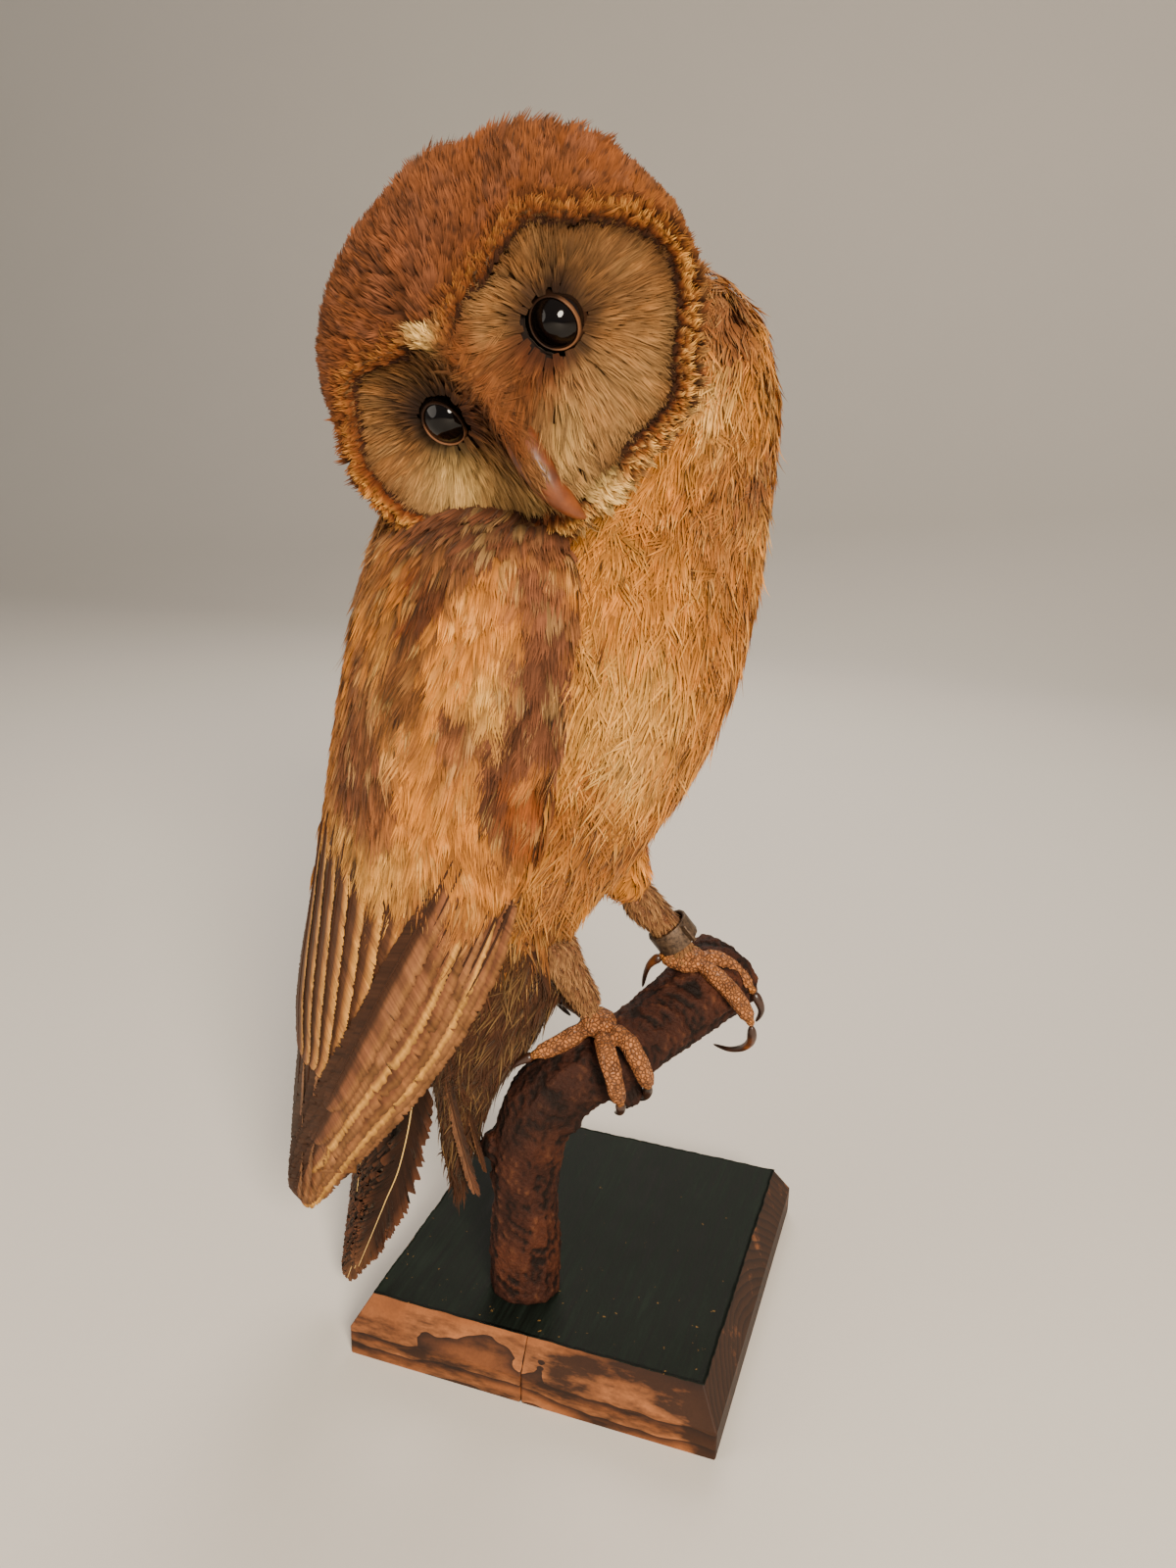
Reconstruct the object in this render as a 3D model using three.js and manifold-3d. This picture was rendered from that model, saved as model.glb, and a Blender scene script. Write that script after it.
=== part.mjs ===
// A mounted barn owl on a bent branch, over a square board with bevelled edges.
// Millimetres, Z up. The origin is the middle of the board's underside.
import * as THREE from 'three';
import { mergeVertices } from 'three/addons/utils/BufferGeometryUtils.js';
import Module from 'manifold-3d';

const wasm = await Module();
wasm.setup();

const degree = Math.PI / 180;
// Neighbouring pieces stay this far apart. Blocks this wide cut the body across.
const gap = 0.3;
const cutBlock = 300;

// The board is two pieces glued edge to edge at seamX.
const board = { side: 128, edgeHeight: 10.8, height: 21.9, bevel: 6.1, seamX: -1.3 };

// Where the owl's middle stands over the board, and which way its breast faces.
const owl = { x: -3, y: -16, facing: 10 * degree };

// The point between the eyes, and the head's turn to the owl's right, nod and tilt.
const headPose = {
  x: -7.3, y: -67.3, z: 317,
  turn: -80.3 * degree,
  nod: 16.9 * degree,
  tilt: 38.9 * degree,
};

// The heart-shaped face disc: it falls back to the sides, is dished round each eye, and has a
// ridge down to the bill.
const face = {
  centreUp: -6,
  rimSwell: 1.6,
  ridge: 6,
  ridgeWidth: 8,
  middleForward: 4,
  sideBack: 15,
  sideReach: 49,
  dish: 7,
  dishStart: 12,
};

const headGrid = { columns: 26, rows: 17, faceShare: 0.42 };

const skull = { side: 60, up: 51, down: 46, back: 78, centreUp: 3 };

const eye = { radius: 8, forward: -11, apart: 19, up: 1 };

// ---- general helpers ----

const at = (x, y, z) => new THREE.Vector3(x, y, z);

function solid(geometry) {
  const bare = geometry.clone();
  bare.deleteAttribute('normal');
  bare.deleteAttribute('uv');
  const merged = mergeVertices(bare, 1e-4);
  return new wasm.Manifold(new wasm.Mesh({
    numProp: 3,
    vertProperties: new Float32Array(merged.attributes.position.array),
    triVerts: new Uint32Array(merged.index.array),
  }));
}

function geometryOf(body) {
  const mesh = body.getMesh();
  const geometry = new THREE.BufferGeometry();
  geometry.setAttribute('position', new THREE.BufferAttribute(mesh.vertProperties, 3));
  geometry.setIndex(new THREE.BufferAttribute(mesh.triVerts, 1));
  return geometry;
}

// A sphere's grid with every vertex moved to place(along, turn): along runs from pole to pole.
function rounded(columns, rows, place) {
  const geometry = new THREE.SphereGeometry(1, columns, rows);
  const spots = geometry.attributes.position;
  for (let i = 0; i < spots.count; i += 1) {
    const row = Math.floor(i / (columns + 1));
    const onPole = row === 0 || row === rows;
    const column = onPole ? 0 : i % (columns + 1) % columns;
    const spot = place(row / rows, (2 * Math.PI * column) / columns);
    spots.setXYZ(i, spot.x, spot.y, spot.z);
  }
  return facingOut(geometry);
}

function facingOut(geometry) {
  const spots = geometry.attributes.position;
  const index = geometry.index.array;
  const [a, b, c] = [at(0, 0, 0), at(0, 0, 0), at(0, 0, 0)];
  let volume = 0;
  for (let i = 0; i < index.length; i += 3) {
    a.fromBufferAttribute(spots, index[i]);
    b.fromBufferAttribute(spots, index[i + 1]);
    c.fromBufferAttribute(spots, index[i + 2]);
    volume += a.dot(b.cross(c));
  }
  if (volume < 0) {
    for (let i = 0; i < index.length; i += 3) {
      [index[i], index[i + 1]] = [index[i + 1], index[i]];
    }
  }
  return geometry;
}

function capScale(u, startCap, endCap) {
  const start = Math.max(0, 1 - u / startCap);
  const end = Math.max(0, 1 - (1 - u) / endCap);
  return Math.sqrt(Math.max(0, 1 - start * start)) * Math.sqrt(Math.max(0, 1 - end * end));
}

// Rows gather near the poles, where the caps round off.
const gathered = (along) => 0.55 * along + 0.45 * 0.5 * (1 - Math.cos(Math.PI * along));

// A body along a smooth spine. A station is [x, y, z, half width, half depth].
function lofted(form, grow = 0) {
  const { stations, widthWay, columns, rows, startCap = 0.2, endCap = 0.2, relief } = form;
  const spine = new THREE.CatmullRomCurve3(stations.map((s) => at(s[0], s[1], s[2])));
  const sizes = new THREE.CatmullRomCurve3(stations.map((s) => at(s[3], s[4], 0)));
  return rounded(columns, rows, (along, turn) => {
    const u = gathered(along);
    const cap = capScale(u, startCap, endCap);
    const tangent = spine.getTangent(u);
    const wide = widthWay.clone().addScaledVector(tangent, -widthWay.dot(tangent)).normalize();
    const deep = at(0, 0, 0).crossVectors(tangent, wide);
    const size = sizes.getPoint(u);
    const extra = grow + (relief ? relief(u, turn) : 0);
    return spine.getPoint(u)
      .addScaledVector(wide, (size.x + extra) * cap * Math.cos(turn))
      .addScaledVector(deep, (size.y + extra) * cap * Math.sin(turn))
      .addScaledVector(tangent, grow * (2 * u - 1));
  });
}

const birdPlace = new THREE.Matrix4().makeRotationZ(owl.facing).setPosition(owl.x, owl.y, 0);
const headPlace = new THREE.Matrix4()
  .makeRotationFromEuler(new THREE.Euler(headPose.tilt, headPose.nod, headPose.turn, 'ZYX'))
  .setPosition(headPose.x, headPose.y, headPose.z);

const onBird = (geometry) => solid(geometry.applyMatrix4(birdPlace));
const onHead = (geometry) => solid(geometry.applyMatrix4(headPlace));
const leftward = at(0, 1, 0);
const upward = at(0, 0, 1);

// ---- head ----

// Distance from the middle of the face disc to its rim, by angle above the owl's left.
const heart = [
  [-90, 30], [-62, 33], [-33, 42], [5, 50], [40, 45], [66, 33], [90, 22],
];

function between(table, value) {
  const next = Math.max(1, table.findIndex(([key]) => key >= value));
  const [[fromKey, from], [toKey, to]] = [table[next - 1], table[next]];
  return THREE.MathUtils.lerp(from, to, THREE.MathUtils.smoothstep(value, fromKey, toKey));
}

function discRadius(turn) {
  const height = Math.min(90, Math.asin(Math.sin(turn)) / degree);
  return between(heart, height);
}

// How far forward the face lies. Edge is 0 in the middle of the disc and 1 on its rim.
function faceForward(left, edge) {
  const side = Math.abs(left);
  const fall = face.sideBack * (side / face.sideReach) ** 1.6;
  const dish = face.dish * (1 - edge ** 4) * (1 - Math.exp(-((side / face.dishStart) ** 2)));
  return face.middleForward - fall - dish + face.ridge * Math.exp(-((left / face.ridgeWidth) ** 2));
}

function headForm(grow) {
  const { columns, rows, faceShare } = headGrid;
  return rounded(columns, rows, (along, turn) => {
    const radius = discRadius(turn);
    const [leftPart, upPart] = [Math.cos(turn), Math.sin(turn)];
    if (along <= faceShare) {
      const edge = along / faceShare;
      const left = radius * edge * leftPart;
      return at(faceForward(left, edge) + grow, left, face.centreUp + radius * edge * upPart);
    }
    const back = (along - faceShare) / (1 - faceShare);
    const rimForward = faceForward(radius * leftPart, 1);
    const upSize = upPart > 0 ? skull.up : skull.down;
    const skullRadius = 1 / Math.hypot(leftPart / skull.side, upPart / upSize);
    const swell = THREE.MathUtils.smoothstep(back, 0, 0.4);
    const shrink = Math.max(0, Math.cos((back * Math.PI) / 2)) ** 0.5;
    const reach = (THREE.MathUtils.lerp(radius + face.rimSwell, skullRadius, swell) + grow) * shrink;
    const forward = rimForward - (rimForward + skull.back) * (1 - Math.cos((back * Math.PI) / 2)) ** 0.8;
    const centreUp = THREE.MathUtils.lerp(face.centreUp, skull.centreUp, swell);
    return at(forward + grow * (1 - 2 * back), reach * leftPart, centreUp + reach * upPart);
  });
}

const eyeForm = (side, grow) => new THREE.SphereGeometry(eye.radius + grow, 10, 8)
  .translate(eye.forward, side * eye.apart, eye.up);

const billUpper = {
  stations: [[5, 0, -8, 4.5, 3.5], [12, 0, -15, 4.8, 4.4], [15.5, 0, -23, 4.2, 4.4],
    [15.2, 0, -31, 2.8, 3.2], [11.6, 0, -38, 0.9, 1]],
  widthWay: leftward,
  columns: 12,
  rows: 10,
};

const billLower = {
  stations: [[4, 0, -20, 3.6, 2.2], [8, 0, -26.5, 3.4, 2.2], [9.8, 0, -33, 1.8, 1.5]],
  widthWay: leftward,
  columns: 10,
  rows: 6,
};

// ---- trunk and neck ----

const torso = {
  stations: [[-36, 0, 138, 16, 20], [-37, 0, 150, 28, 29], [-31.5, 0, 168, 36, 38.5],
    [-26.5, 0, 186, 42, 46.5], [-21, 0, 206, 46, 53], [-14.5, 0, 227, 48, 57.5],
    [-7.5, 0, 250, 49, 58.5], [-1.5, 5, 275, 41, 56.5], [5, 5, 298, 33, 52], [9, -3, 318, 33, 47],
    [8, -12, 335, 27, 39], [5, -18, 348, 18, 25]],
  widthWay: leftward,
  columns: 20,
  rows: 17,
  startCap: 0.12,
  endCap: 0.14,
};

const neckCut = { z: 287, lean: 14 * degree };

function aboveNeck(grow) {
  return new THREE.BoxGeometry(cutBlock, cutBlock, cutBlock)
    .translate(0, 0, cutBlock / 2 - grow)
    .rotateY(neckCut.lean)
    .translate(0, 0, neckCut.z);
}

// ---- wings ----

// Front and rear edges from the shoulder down to the tip, in the owl's own frame, with the
// half thickness and how far the wing bows outward over the body.
const wingRows = [
  { front: [6, 44, 288], rear: [-48, 14, 290], thick: 4, bow: 9 },
  { front: [10, 49, 272], rear: [-58, 12, 268], thick: 6.5, bow: 13 },
  { front: [8, 51.5, 240], rear: [-68, 10, 236], thick: 7, bow: 18 },
  { front: [3, 50, 208], rear: [-75, 9, 202], thick: 6.5, bow: 18 },
  { front: [-8, 46, 170], rear: [-81, 10, 164], thick: 5.5, bow: 15 },
  { front: [-25, 39, 134], rear: [-88, 12, 124], thick: 4.5, bow: 11 },
  { front: [-50, 31, 97], rear: [-92, 14, 86], thick: 3, bow: 6 },
  { front: [-76, 21, 62], rear: [-94, 14, 56], thick: 2, bow: 2 },
  { front: [-89, 17, 45], rear: [-94, 14, 43], thick: 1.2, bow: 0.5 },
];

const wingGrid = { columns: 16, rows: 14, shoulderCap: 0.12, tipCap: 0.06 };

function wingForm(side, grow) {
  const edge = (key) => new THREE.CatmullRomCurve3(
    wingRows.map((row) => at(row[key][0], side * row[key][1], row[key][2])));
  const [front, rear] = [edge('front'), edge('rear')];
  const shape = new THREE.CatmullRomCurve3(wingRows.map((row) => at(row.thick, row.bow, 0)));
  return rounded(wingGrid.columns, wingGrid.rows, (along, turn) => {
    const u = gathered(along);
    const cap = capScale(u, wingGrid.shoulderCap, wingGrid.tipCap);
    const [fore, aft] = [front.getPoint(u), rear.getPoint(u)];
    const chord = fore.clone().sub(aft);
    const across = chord.clone().normalize();
    const outward = at(across.y, -across.x, 0).normalize().multiplyScalar(-side);
    const { x: thick, y: bow } = shape.getPoint(u);
    const reach = Math.cos(turn);
    return fore.add(aft).multiplyScalar(0.5)
      .addScaledVector(across, (chord.length() / 2 + grow) * cap * reach)
      .addScaledVector(outward, bow * (1 - reach * reach) * cap)
      .addScaledVector(outward, (thick + grow) * cap * Math.sin(turn));
  });
}

// The long flight feathers lie below a slanting line from the wing's front edge to its rear.
const primaryLine = { x: -45, z: 131, slope: -54 * degree };

function belowPrimaryLine(grow) {
  return new THREE.BoxGeometry(cutBlock, cutBlock, cutBlock)
    .translate(0, 0, grow - cutBlock / 2)
    .rotateY(primaryLine.slope)
    .translate(primaryLine.x, 0, primaryLine.z);
}

// ---- tail and vent ----

const tail = {
  stations: [[-46, 0, 166, 14, 6], [-54, -1, 142, 17, 6], [-60, -2, 112, 20, 5], [-64.5, -2, 72, 22, 3.5],
    [-68, -5, 52, 19, 3], [-71.5, -7.5, 36, 13.5, 2.5], [-75.5, -10.5, 20, 7, 2], [-79, -13, 8, 3, 1.2]],
  widthWay: at(0.81, -0.57, 0),
  columns: 12,
  rows: 13,
};

const vent = {
  stations: [[-20, -8, 176, 18, 20], [-22, -10, 150, 22, 24], [-26, -12, 125, 19, 20],
    [-32, -14, 102, 12, 12], [-34, -16, 80, 5, 6], [-34, -18, 58, 2, 3]],
  widthWay: leftward,
  columns: 12,
  rows: 11,
};

// ---- legs ----

const leg = {
  right: {
    thigh: [[-2, -32, 196, 14, 16], [-3, -33, 178, 11, 13], [-3.5, -33, 160, 8, 9], [-3, -33, 150, 6, 6.5]],
    shank: [[-3, -33, 156, 7, 7.5], [-1, -32.5, 147, 6.5, 7], [4, -31, 138, 5.2, 5.4],
      [9.5, -28.5, 127, 5, 5]],
  },
  left: {
    thigh: [[0, -4, 190, 13, 14], [6, -3, 175, 10, 11], [12, -1, 161, 7.5, 8], [15, 0, 155, 6, 6]],
    shank: [[11, -1, 162, 7, 7], [17, 1, 153, 6.5, 6.5], [24, 3.5, 146, 5.2, 5.4], [30, 6, 136, 5, 5]],
  },
};

const thighForm = (limb) => ({ stations: limb.thigh, widthWay: leftward, columns: 12, rows: 7 });
const shankForm = (limb) => ({ stations: limb.shank, widthWay: leftward, columns: 10, rows: 8 });

// A toe's points run from the hub to its last joint. Its claw's go on from there to the tip.
const feet = {
  right: {
    hub: [10.5, -28, 124],
    toes: [
      {
        name: 'outer',
        toe: [[8, -30, 123], [1, -36, 119], [-7, -39, 114.5]],
        claw: [[-7, -39, 114.5], [-12, -39, 111], [-15.2, -38, 107.3]],
      },
      {
        name: 'middle',
        toe: [[12, -32, 124], [18.5, -42, 121], [22, -44, 112], [22.6, -41, 105]],
        claw: [[22.6, -41, 105], [21.6, -37, 99], [18, -32, 95]],
      },
      {
        name: 'inner',
        toe: [[14, -29, 125], [23.5, -34, 121], [28, -33.5, 112], [28.4, -30, 106]],
        claw: [[28.4, -30, 106], [25.5, -22.5, 96.5], [17.5, -17.5, 91]],
      },
      {
        name: 'hind',
        toe: [[8, -25, 124], [1, -20, 124], [-6, -15, 122.5]],
        claw: [[-6, -15, 122.5], [-9.6, -10.5, 118], [-5.5, -7, 111.5]],
      },
    ],
  },
  left: {
    hub: [30.5, 6, 134],
    toes: [
      {
        name: 'outer',
        toe: [[34, 4, 135], [43, 2, 130.5], [51, 0, 124], [54.5, 0, 118]],
        claw: [[54.5, 0, 118], [54.5, 4, 108], [47, 9, 101], [38.6, 12, 100.5]],
      },
      {
        name: 'middle',
        toe: [[34, 8, 136], [44, 12, 131], [52, 13, 123]],
        claw: [[52, 13, 123], [55.5, 14.5, 115.5], [53, 17, 108.5]],
      },
      {
        name: 'inner',
        toe: [[28, 9, 134], [25, 17, 134], [22.5, 23, 129]],
        claw: [[22.5, 23, 129], [20, 26, 122], [20.5, 26, 114]],
      },
      {
        name: 'hind',
        toe: [[28, 4, 134], [23, 2, 136]],
        claw: [[23, 2, 136], [18, 3, 131], [15.1, 6, 119.5]],
      },
    ],
  },
};

const toeSize = { hub: [6.5, 6.5, 5], base: 3.9, taper: 0.9, flatter: 0.2 };
const clawSize = { base: 2.3, tip: 0.5 };

function toeForm(points, grow = 0) {
  const last = points.length - 1;
  const stations = points.map(([x, y, z], i) => {
    const size = toeSize.base - (toeSize.taper * i) / last;
    return [x, y, z, size, size - toeSize.flatter];
  });
  return lofted({ stations, widthWay: upward, columns: 7, rows: 6, startCap: 0.3, endCap: 0.2 }, grow);
}

function clawForm(points, grow = 0) {
  const last = points.length - 1;
  const stations = points.map(([x, y, z], i) => {
    const size = THREE.MathUtils.lerp(clawSize.base, clawSize.tip, i / last);
    return [x, y, z, size, size];
  });
  return lofted({ stations, widthWay: upward, columns: 6, rows: 6, startCap: 0.15, endCap: 0.15 }, grow);
}

// ---- branch ----

const bark = { lobes: 0.5, lumps: 0.4 };

const branchForm = {
  stations: [[-11, -35, 14, 12.6, 12.6], [-11, -35, 34, 12.2, 12.2], [-10.8, -35, 56, 11.3, 11.3],
    [-10.5, -35, 76, 12, 12], [-6, -34, 93, 13, 13], [3, -31, 104, 12.4, 12.4],
    [15, -22, 110, 11.6, 11.6], [27, -2, 116, 12.2, 12.2],
    [36, 14, 121, 14, 14.5], [42, 26, 125, 14.5, 15]],
  widthWay: at(0.8, -0.6, 0),
  columns: 12,
  rows: 22,
  startCap: 0.01,
  endCap: 0.015,
  relief: (u, turn) => bark.lobes * Math.sin(3 * turn + 9 * u) + bark.lumps * Math.sin(40 * u + 2 * turn),
};

const knots = [
  { spot: [-21.5, -38, 77], size: [5, 5, 6] },
  { spot: [20, -26, 99], size: [6, 6, 5] },
  { spot: [3, -36, 92], size: [6, 5, 7] },
];

function branchBody(grow) {
  let body = solid(lofted(branchForm, grow));
  for (const { spot, size } of knots) {
    const [wide, deep, tall] = size.map((half) => half + grow);
    body = body.add(solid(new THREE.SphereGeometry(1, 7, 5).scale(wide, deep, tall).translate(...spot)));
  }
  const boardTop = new THREE.BoxGeometry(cutBlock, cutBlock, board.height)
    .translate(0, 0, board.height / 2 + gap);
  return body.subtract(solid(boardTop));
}

// ---- board ----

function boardHalf(fromX, toX) {
  const half = board.side / 2;
  const outline = new THREE.Shape([
    new THREE.Vector2(-half, 0),
    new THREE.Vector2(half, 0),
    new THREE.Vector2(half, board.edgeHeight),
    new THREE.Vector2(half - board.bevel, board.height),
    new THREE.Vector2(board.bevel - half, board.height),
    new THREE.Vector2(-half, board.edgeHeight),
  ]);
  const along = new THREE.ExtrudeGeometry(outline, { depth: board.side, bevelEnabled: false })
    .translate(0, 0, -half)
    .rotateX(Math.PI / 2);
  const across = along.clone().rotateZ(Math.PI / 2);
  const strip = new THREE.BoxGeometry(toX - fromX, 2 * board.side, 3 * board.height)
    .translate((fromX + toX) / 2, 0, 0);
  return solid(along).intersect(solid(across)).intersect(solid(strip));
}

// ---- leg ring ----

const ring = {
  inner: 6.5,
  outer: 7.4,
  tall: 7.5,
  middle: [25.6, 4.1, 143.8],
  along: [6.4, 2.5, -9],
  tab: [3.2, 6.5, 1],
};

function ringBody() {
  const { inner, outer, tall } = ring;
  const profile = [[inner, 0], [outer, 0], [outer, tall], [inner, tall], [inner, 0]];
  const band = new THREE.LatheGeometry(profile.map(([x, y]) => new THREE.Vector2(x, y - tall / 2)), 14);
  const tab = new THREE.BoxGeometry(...ring.tab).translate(outer + 1, 0, 0);
  const turn = new THREE.Quaternion().setFromUnitVectors(leftward, at(...ring.along).normalize());
  const place = new THREE.Matrix4().makeRotationFromQuaternion(turn).setPosition(...ring.middle);
  return solid(band.applyMatrix4(place)).add(solid(tab.applyMatrix4(place)));
}

// ---- assembly ----

const colours = {
  wood: ['#7a4526', 0.8],
  bark: ['#3d1f16', 0.85],
  crown: ['#96602f', 0.95],
  breast: ['#b9853f', 0.95],
  wing: ['#7a5534', 0.95],
  quill: ['#5f442c', 0.9],
  down: ['#8d7454', 1],
  toe: ['#a0703f', 0.7],
  horn: ['#1d1310', 0.35],
  bill: ['#b5763a', 0.4],
  eye: ['#050404', 0.05],
  ring: ['#8a8378', 0.3],
};

const group = new THREE.Group();

function add(name, body, colour) {
  const [tone, roughness] = colours[colour];
  const material = new THREE.MeshStandardMaterial({ color: tone, roughness, metalness: 0 });
  const mesh = new THREE.Mesh(geometryOf(body), material);
  mesh.name = name;
  group.add(mesh);
}

const halfSide = board.side / 2;
add('base_left_board', boardHalf(-halfSide, board.seamX - gap / 2), 'wood');
add('base_right_board', boardHalf(board.seamX + gap / 2, halfSide), 'wood');

add('branch', branchBody(0), 'bark');
const branchSpace = branchBody(gap);

let head = onHead(headForm(0));
const headSpace = onHead(headForm(3 * gap));
const wholeTorso = onBird(lofted(torso));
const wingSpace = {
  right: onBird(wingForm(-1, 2 * gap)),
  left: onBird(wingForm(1, 2 * gap)),
};
const tailSpace = onBird(lofted(tail, 1.5 * gap));
const ventSpace = onBird(lofted(vent, 1.5 * gap));

for (const [name, side] of [['left', 1], ['right', -1]]) {
  head = head.subtract(onHead(eyeForm(side, gap)));
  add(`eye_${name}`, onHead(eyeForm(side, 0)), 'eye');
}
const billSpace = onHead(lofted(billUpper, gap));
const lowerBill = onHead(lofted(billLower)).subtract(billSpace);
head = head.subtract(billSpace).subtract(onHead(lofted(billLower, gap)));
add('head', head, 'crown');
add('bill_upper', onHead(lofted(billUpper)), 'bill');
add('bill_lower', lowerBill, 'bill');

const wingsAway = (body) => body.subtract(wingSpace.right).subtract(wingSpace.left);
add('neck', wingsAway(wholeTorso.intersect(onBird(aboveNeck(0))).subtract(headSpace)), 'breast');

let trunk = wingsAway(wholeTorso.subtract(onBird(aboveNeck(gap))).subtract(headSpace))
  .subtract(tailSpace)
  .subtract(ventSpace);
let ventBody = wingsAway(onBird(lofted(vent))).subtract(tailSpace).subtract(branchSpace);

for (const [name, side] of [['right', -1], ['left', 1]]) {
  const wing = onBird(wingForm(side, 0)).subtract(headSpace);
  add(`wing_${name}`, wing.subtract(onBird(belowPrimaryLine(gap))), 'wing');
  add(`primaries_${name}`, wing.intersect(onBird(belowPrimaryLine(0))), 'quill');

  const limb = leg[name];
  const thighSpace = solid(lofted(thighForm(limb), 1.5 * gap));
  const shankSpace = solid(lofted(shankForm(limb), 1.5 * gap));
  const thigh = solid(lofted(thighForm(limb))).subtract(shankSpace);
  trunk = trunk.subtract(thighSpace).subtract(shankSpace);
  ventBody = ventBody.subtract(thighSpace).subtract(shankSpace);
  add(`thigh_${name}`, thigh, 'down');

  const { hub, toes } = feet[name];
  let foot = solid(new THREE.SphereGeometry(1, 8, 6).scale(...toeSize.hub).translate(...hub));
  for (const { toe } of toes) {
    foot = foot.add(solid(toeForm(toe)));
  }
  for (const toe of toes) {
    foot = foot.subtract(solid(clawForm(toe.claw, gap)));
    add(`claw_${toe.name}_${name}`, solid(clawForm(toe.claw)).subtract(branchSpace), 'horn');
  }
  add(`shank_${name}`, solid(lofted(shankForm(limb))), 'down');
  add(`foot_${name}`, foot.subtract(shankSpace).subtract(branchSpace), 'toe');
}
add('leg_ring', ringBody(), 'ring');
add('trunk', trunk, 'breast');
add('tail', wingsAway(onBird(lofted(tail))), 'quill');
add('vent', ventBody, 'down');

export default group;
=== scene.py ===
import math

import bpy
import bmesh
import numpy as np
from mathutils import Matrix, Vector
from mathutils.bvhtree import BVHTree


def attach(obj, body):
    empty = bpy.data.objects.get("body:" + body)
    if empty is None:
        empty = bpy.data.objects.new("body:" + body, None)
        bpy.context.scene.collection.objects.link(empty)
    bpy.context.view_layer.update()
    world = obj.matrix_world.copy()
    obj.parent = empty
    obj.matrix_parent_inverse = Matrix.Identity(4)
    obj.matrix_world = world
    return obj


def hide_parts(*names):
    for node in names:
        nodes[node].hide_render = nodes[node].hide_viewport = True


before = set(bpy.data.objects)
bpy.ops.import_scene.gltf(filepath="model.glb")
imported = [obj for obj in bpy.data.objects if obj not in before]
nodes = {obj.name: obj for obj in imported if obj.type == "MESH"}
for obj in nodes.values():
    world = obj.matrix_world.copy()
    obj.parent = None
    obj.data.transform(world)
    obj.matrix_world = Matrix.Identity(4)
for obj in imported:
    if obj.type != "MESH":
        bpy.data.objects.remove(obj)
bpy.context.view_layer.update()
mm = 0.001
print("frame loaded:", len(nodes), "nodes")


# ---------- small helpers ----------

def paint(code):
    # a web colour as linear values
    parts = np.array([int(code[i:i + 2], 16) / 255 for i in (1, 3, 5)])
    return np.where(parts <= 0.04045, parts / 12.92, ((parts + 0.055) / 1.055) ** 2.4)


def smooth(low, high, value):
    t = np.clip((value - low) / (high - low), 0, 1)
    return t * t * (3 - 2 * t)


def unit(vectors):
    size = np.linalg.norm(vectors, axis=-1, keepdims=True)
    return vectors / np.maximum(size, 1e-9)


def flatOn(vectors, normals):
    # the part of each vector that lies in the surface
    return vectors - (vectors * normals).sum(-1, keepdims=True) * normals


def blendInto(colour, other, share):
    share = np.clip(share, 0, 1)[..., None]
    return colour * (1 - share) + other * share


def ripple(points, size, seed):
    # soft irregular waves between -1 and 1, about one size apart
    draw = np.random.default_rng(seed)
    total = np.zeros(len(points))
    for k in range(6):
        way = draw.normal(size=3)
        way *= (2 * math.pi / size) * draw.uniform(0.6, 1.5) / np.linalg.norm(way)
        total += np.sin(points @ way + draw.uniform(0, 2 * math.pi))
    return np.clip(total / 3, -1, 1)


def meshFrom(name, verts, loops, totals, tints=None, bakeSpots=None):
    # a mesh straight from number arrays: corner indices and corners per face
    mesh = bpy.data.meshes.new(name)
    mesh.vertices.add(len(verts))
    mesh.vertices.foreach_set("co", np.ascontiguousarray(verts, np.float32).ravel())
    mesh.loops.add(len(loops))
    mesh.loops.foreach_set("vertex_index", np.ascontiguousarray(loops, np.int32))
    starts = np.concatenate([[0], np.cumsum(totals)[:-1]])
    mesh.polygons.add(len(totals))
    mesh.polygons.foreach_set("loop_start", starts.astype(np.int32))
    mesh.polygons.foreach_set("loop_total", np.asarray(totals, np.int32))
    mesh.polygons.foreach_set("use_smooth", np.ones(len(totals), bool))
    if tints is not None:
        layer = mesh.color_attributes.new("tint", "FLOAT_COLOR", "POINT")
        full = np.ones((len(verts), 4), np.float32)
        full[:, :3] = np.clip(tints, 0, 1)
        layer.data.foreach_set("color", full.ravel())
    if bakeSpots is not None:
        layer = mesh.uv_layers.new(name="OFBake")
        layer.data.foreach_set("uv", bakeSpots[loops].astype(np.float32).ravel())
    mesh.update(calc_edges=True)
    mesh.validate()
    piece = bpy.data.objects.new(name, mesh)
    bpy.context.scene.collection.objects.link(piece)
    return piece


def finishPiece(piece, material, slotName, *stoodFor):
    if material is not None:
        piece.data.materials.clear()
        piece.data.materials.append(material)
    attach(piece, "root")
    if stoodFor:
        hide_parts(*stoodFor)
    return piece


# ---------- places on the owl ----------

owl = {"x": -3.0, "y": -16.0, "facing": 10.0}
headPose = {"x": -7.3, "y": -67.3, "z": 317.0, "turn": -80.3, "nod": 16.9, "tilt": 38.9}


def turned(axis, degrees):
    return np.array(Matrix.Rotation(math.radians(degrees), 3, axis))


birdTurn = turned("Z", owl["facing"])
birdSpot = np.array([owl["x"], owl["y"], 0.0])
headTurn = turned("Z", headPose["turn"]) @ turned("Y", headPose["nod"]) @ turned("X", headPose["tilt"])
headSpot = np.array([headPose["x"], headPose["y"], headPose["z"]])


def fromBird(points):
    return (np.asarray(points, float) @ birdTurn.T + birdSpot) * mm


def toBird(points):
    return (np.asarray(points, float) / mm - birdSpot) @ birdTurn


def fromHead(points):
    return (np.asarray(points, float) @ headTurn.T + headSpot) * mm


def toHead(points):
    return (np.asarray(points, float) / mm - headSpot) @ headTurn


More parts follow.
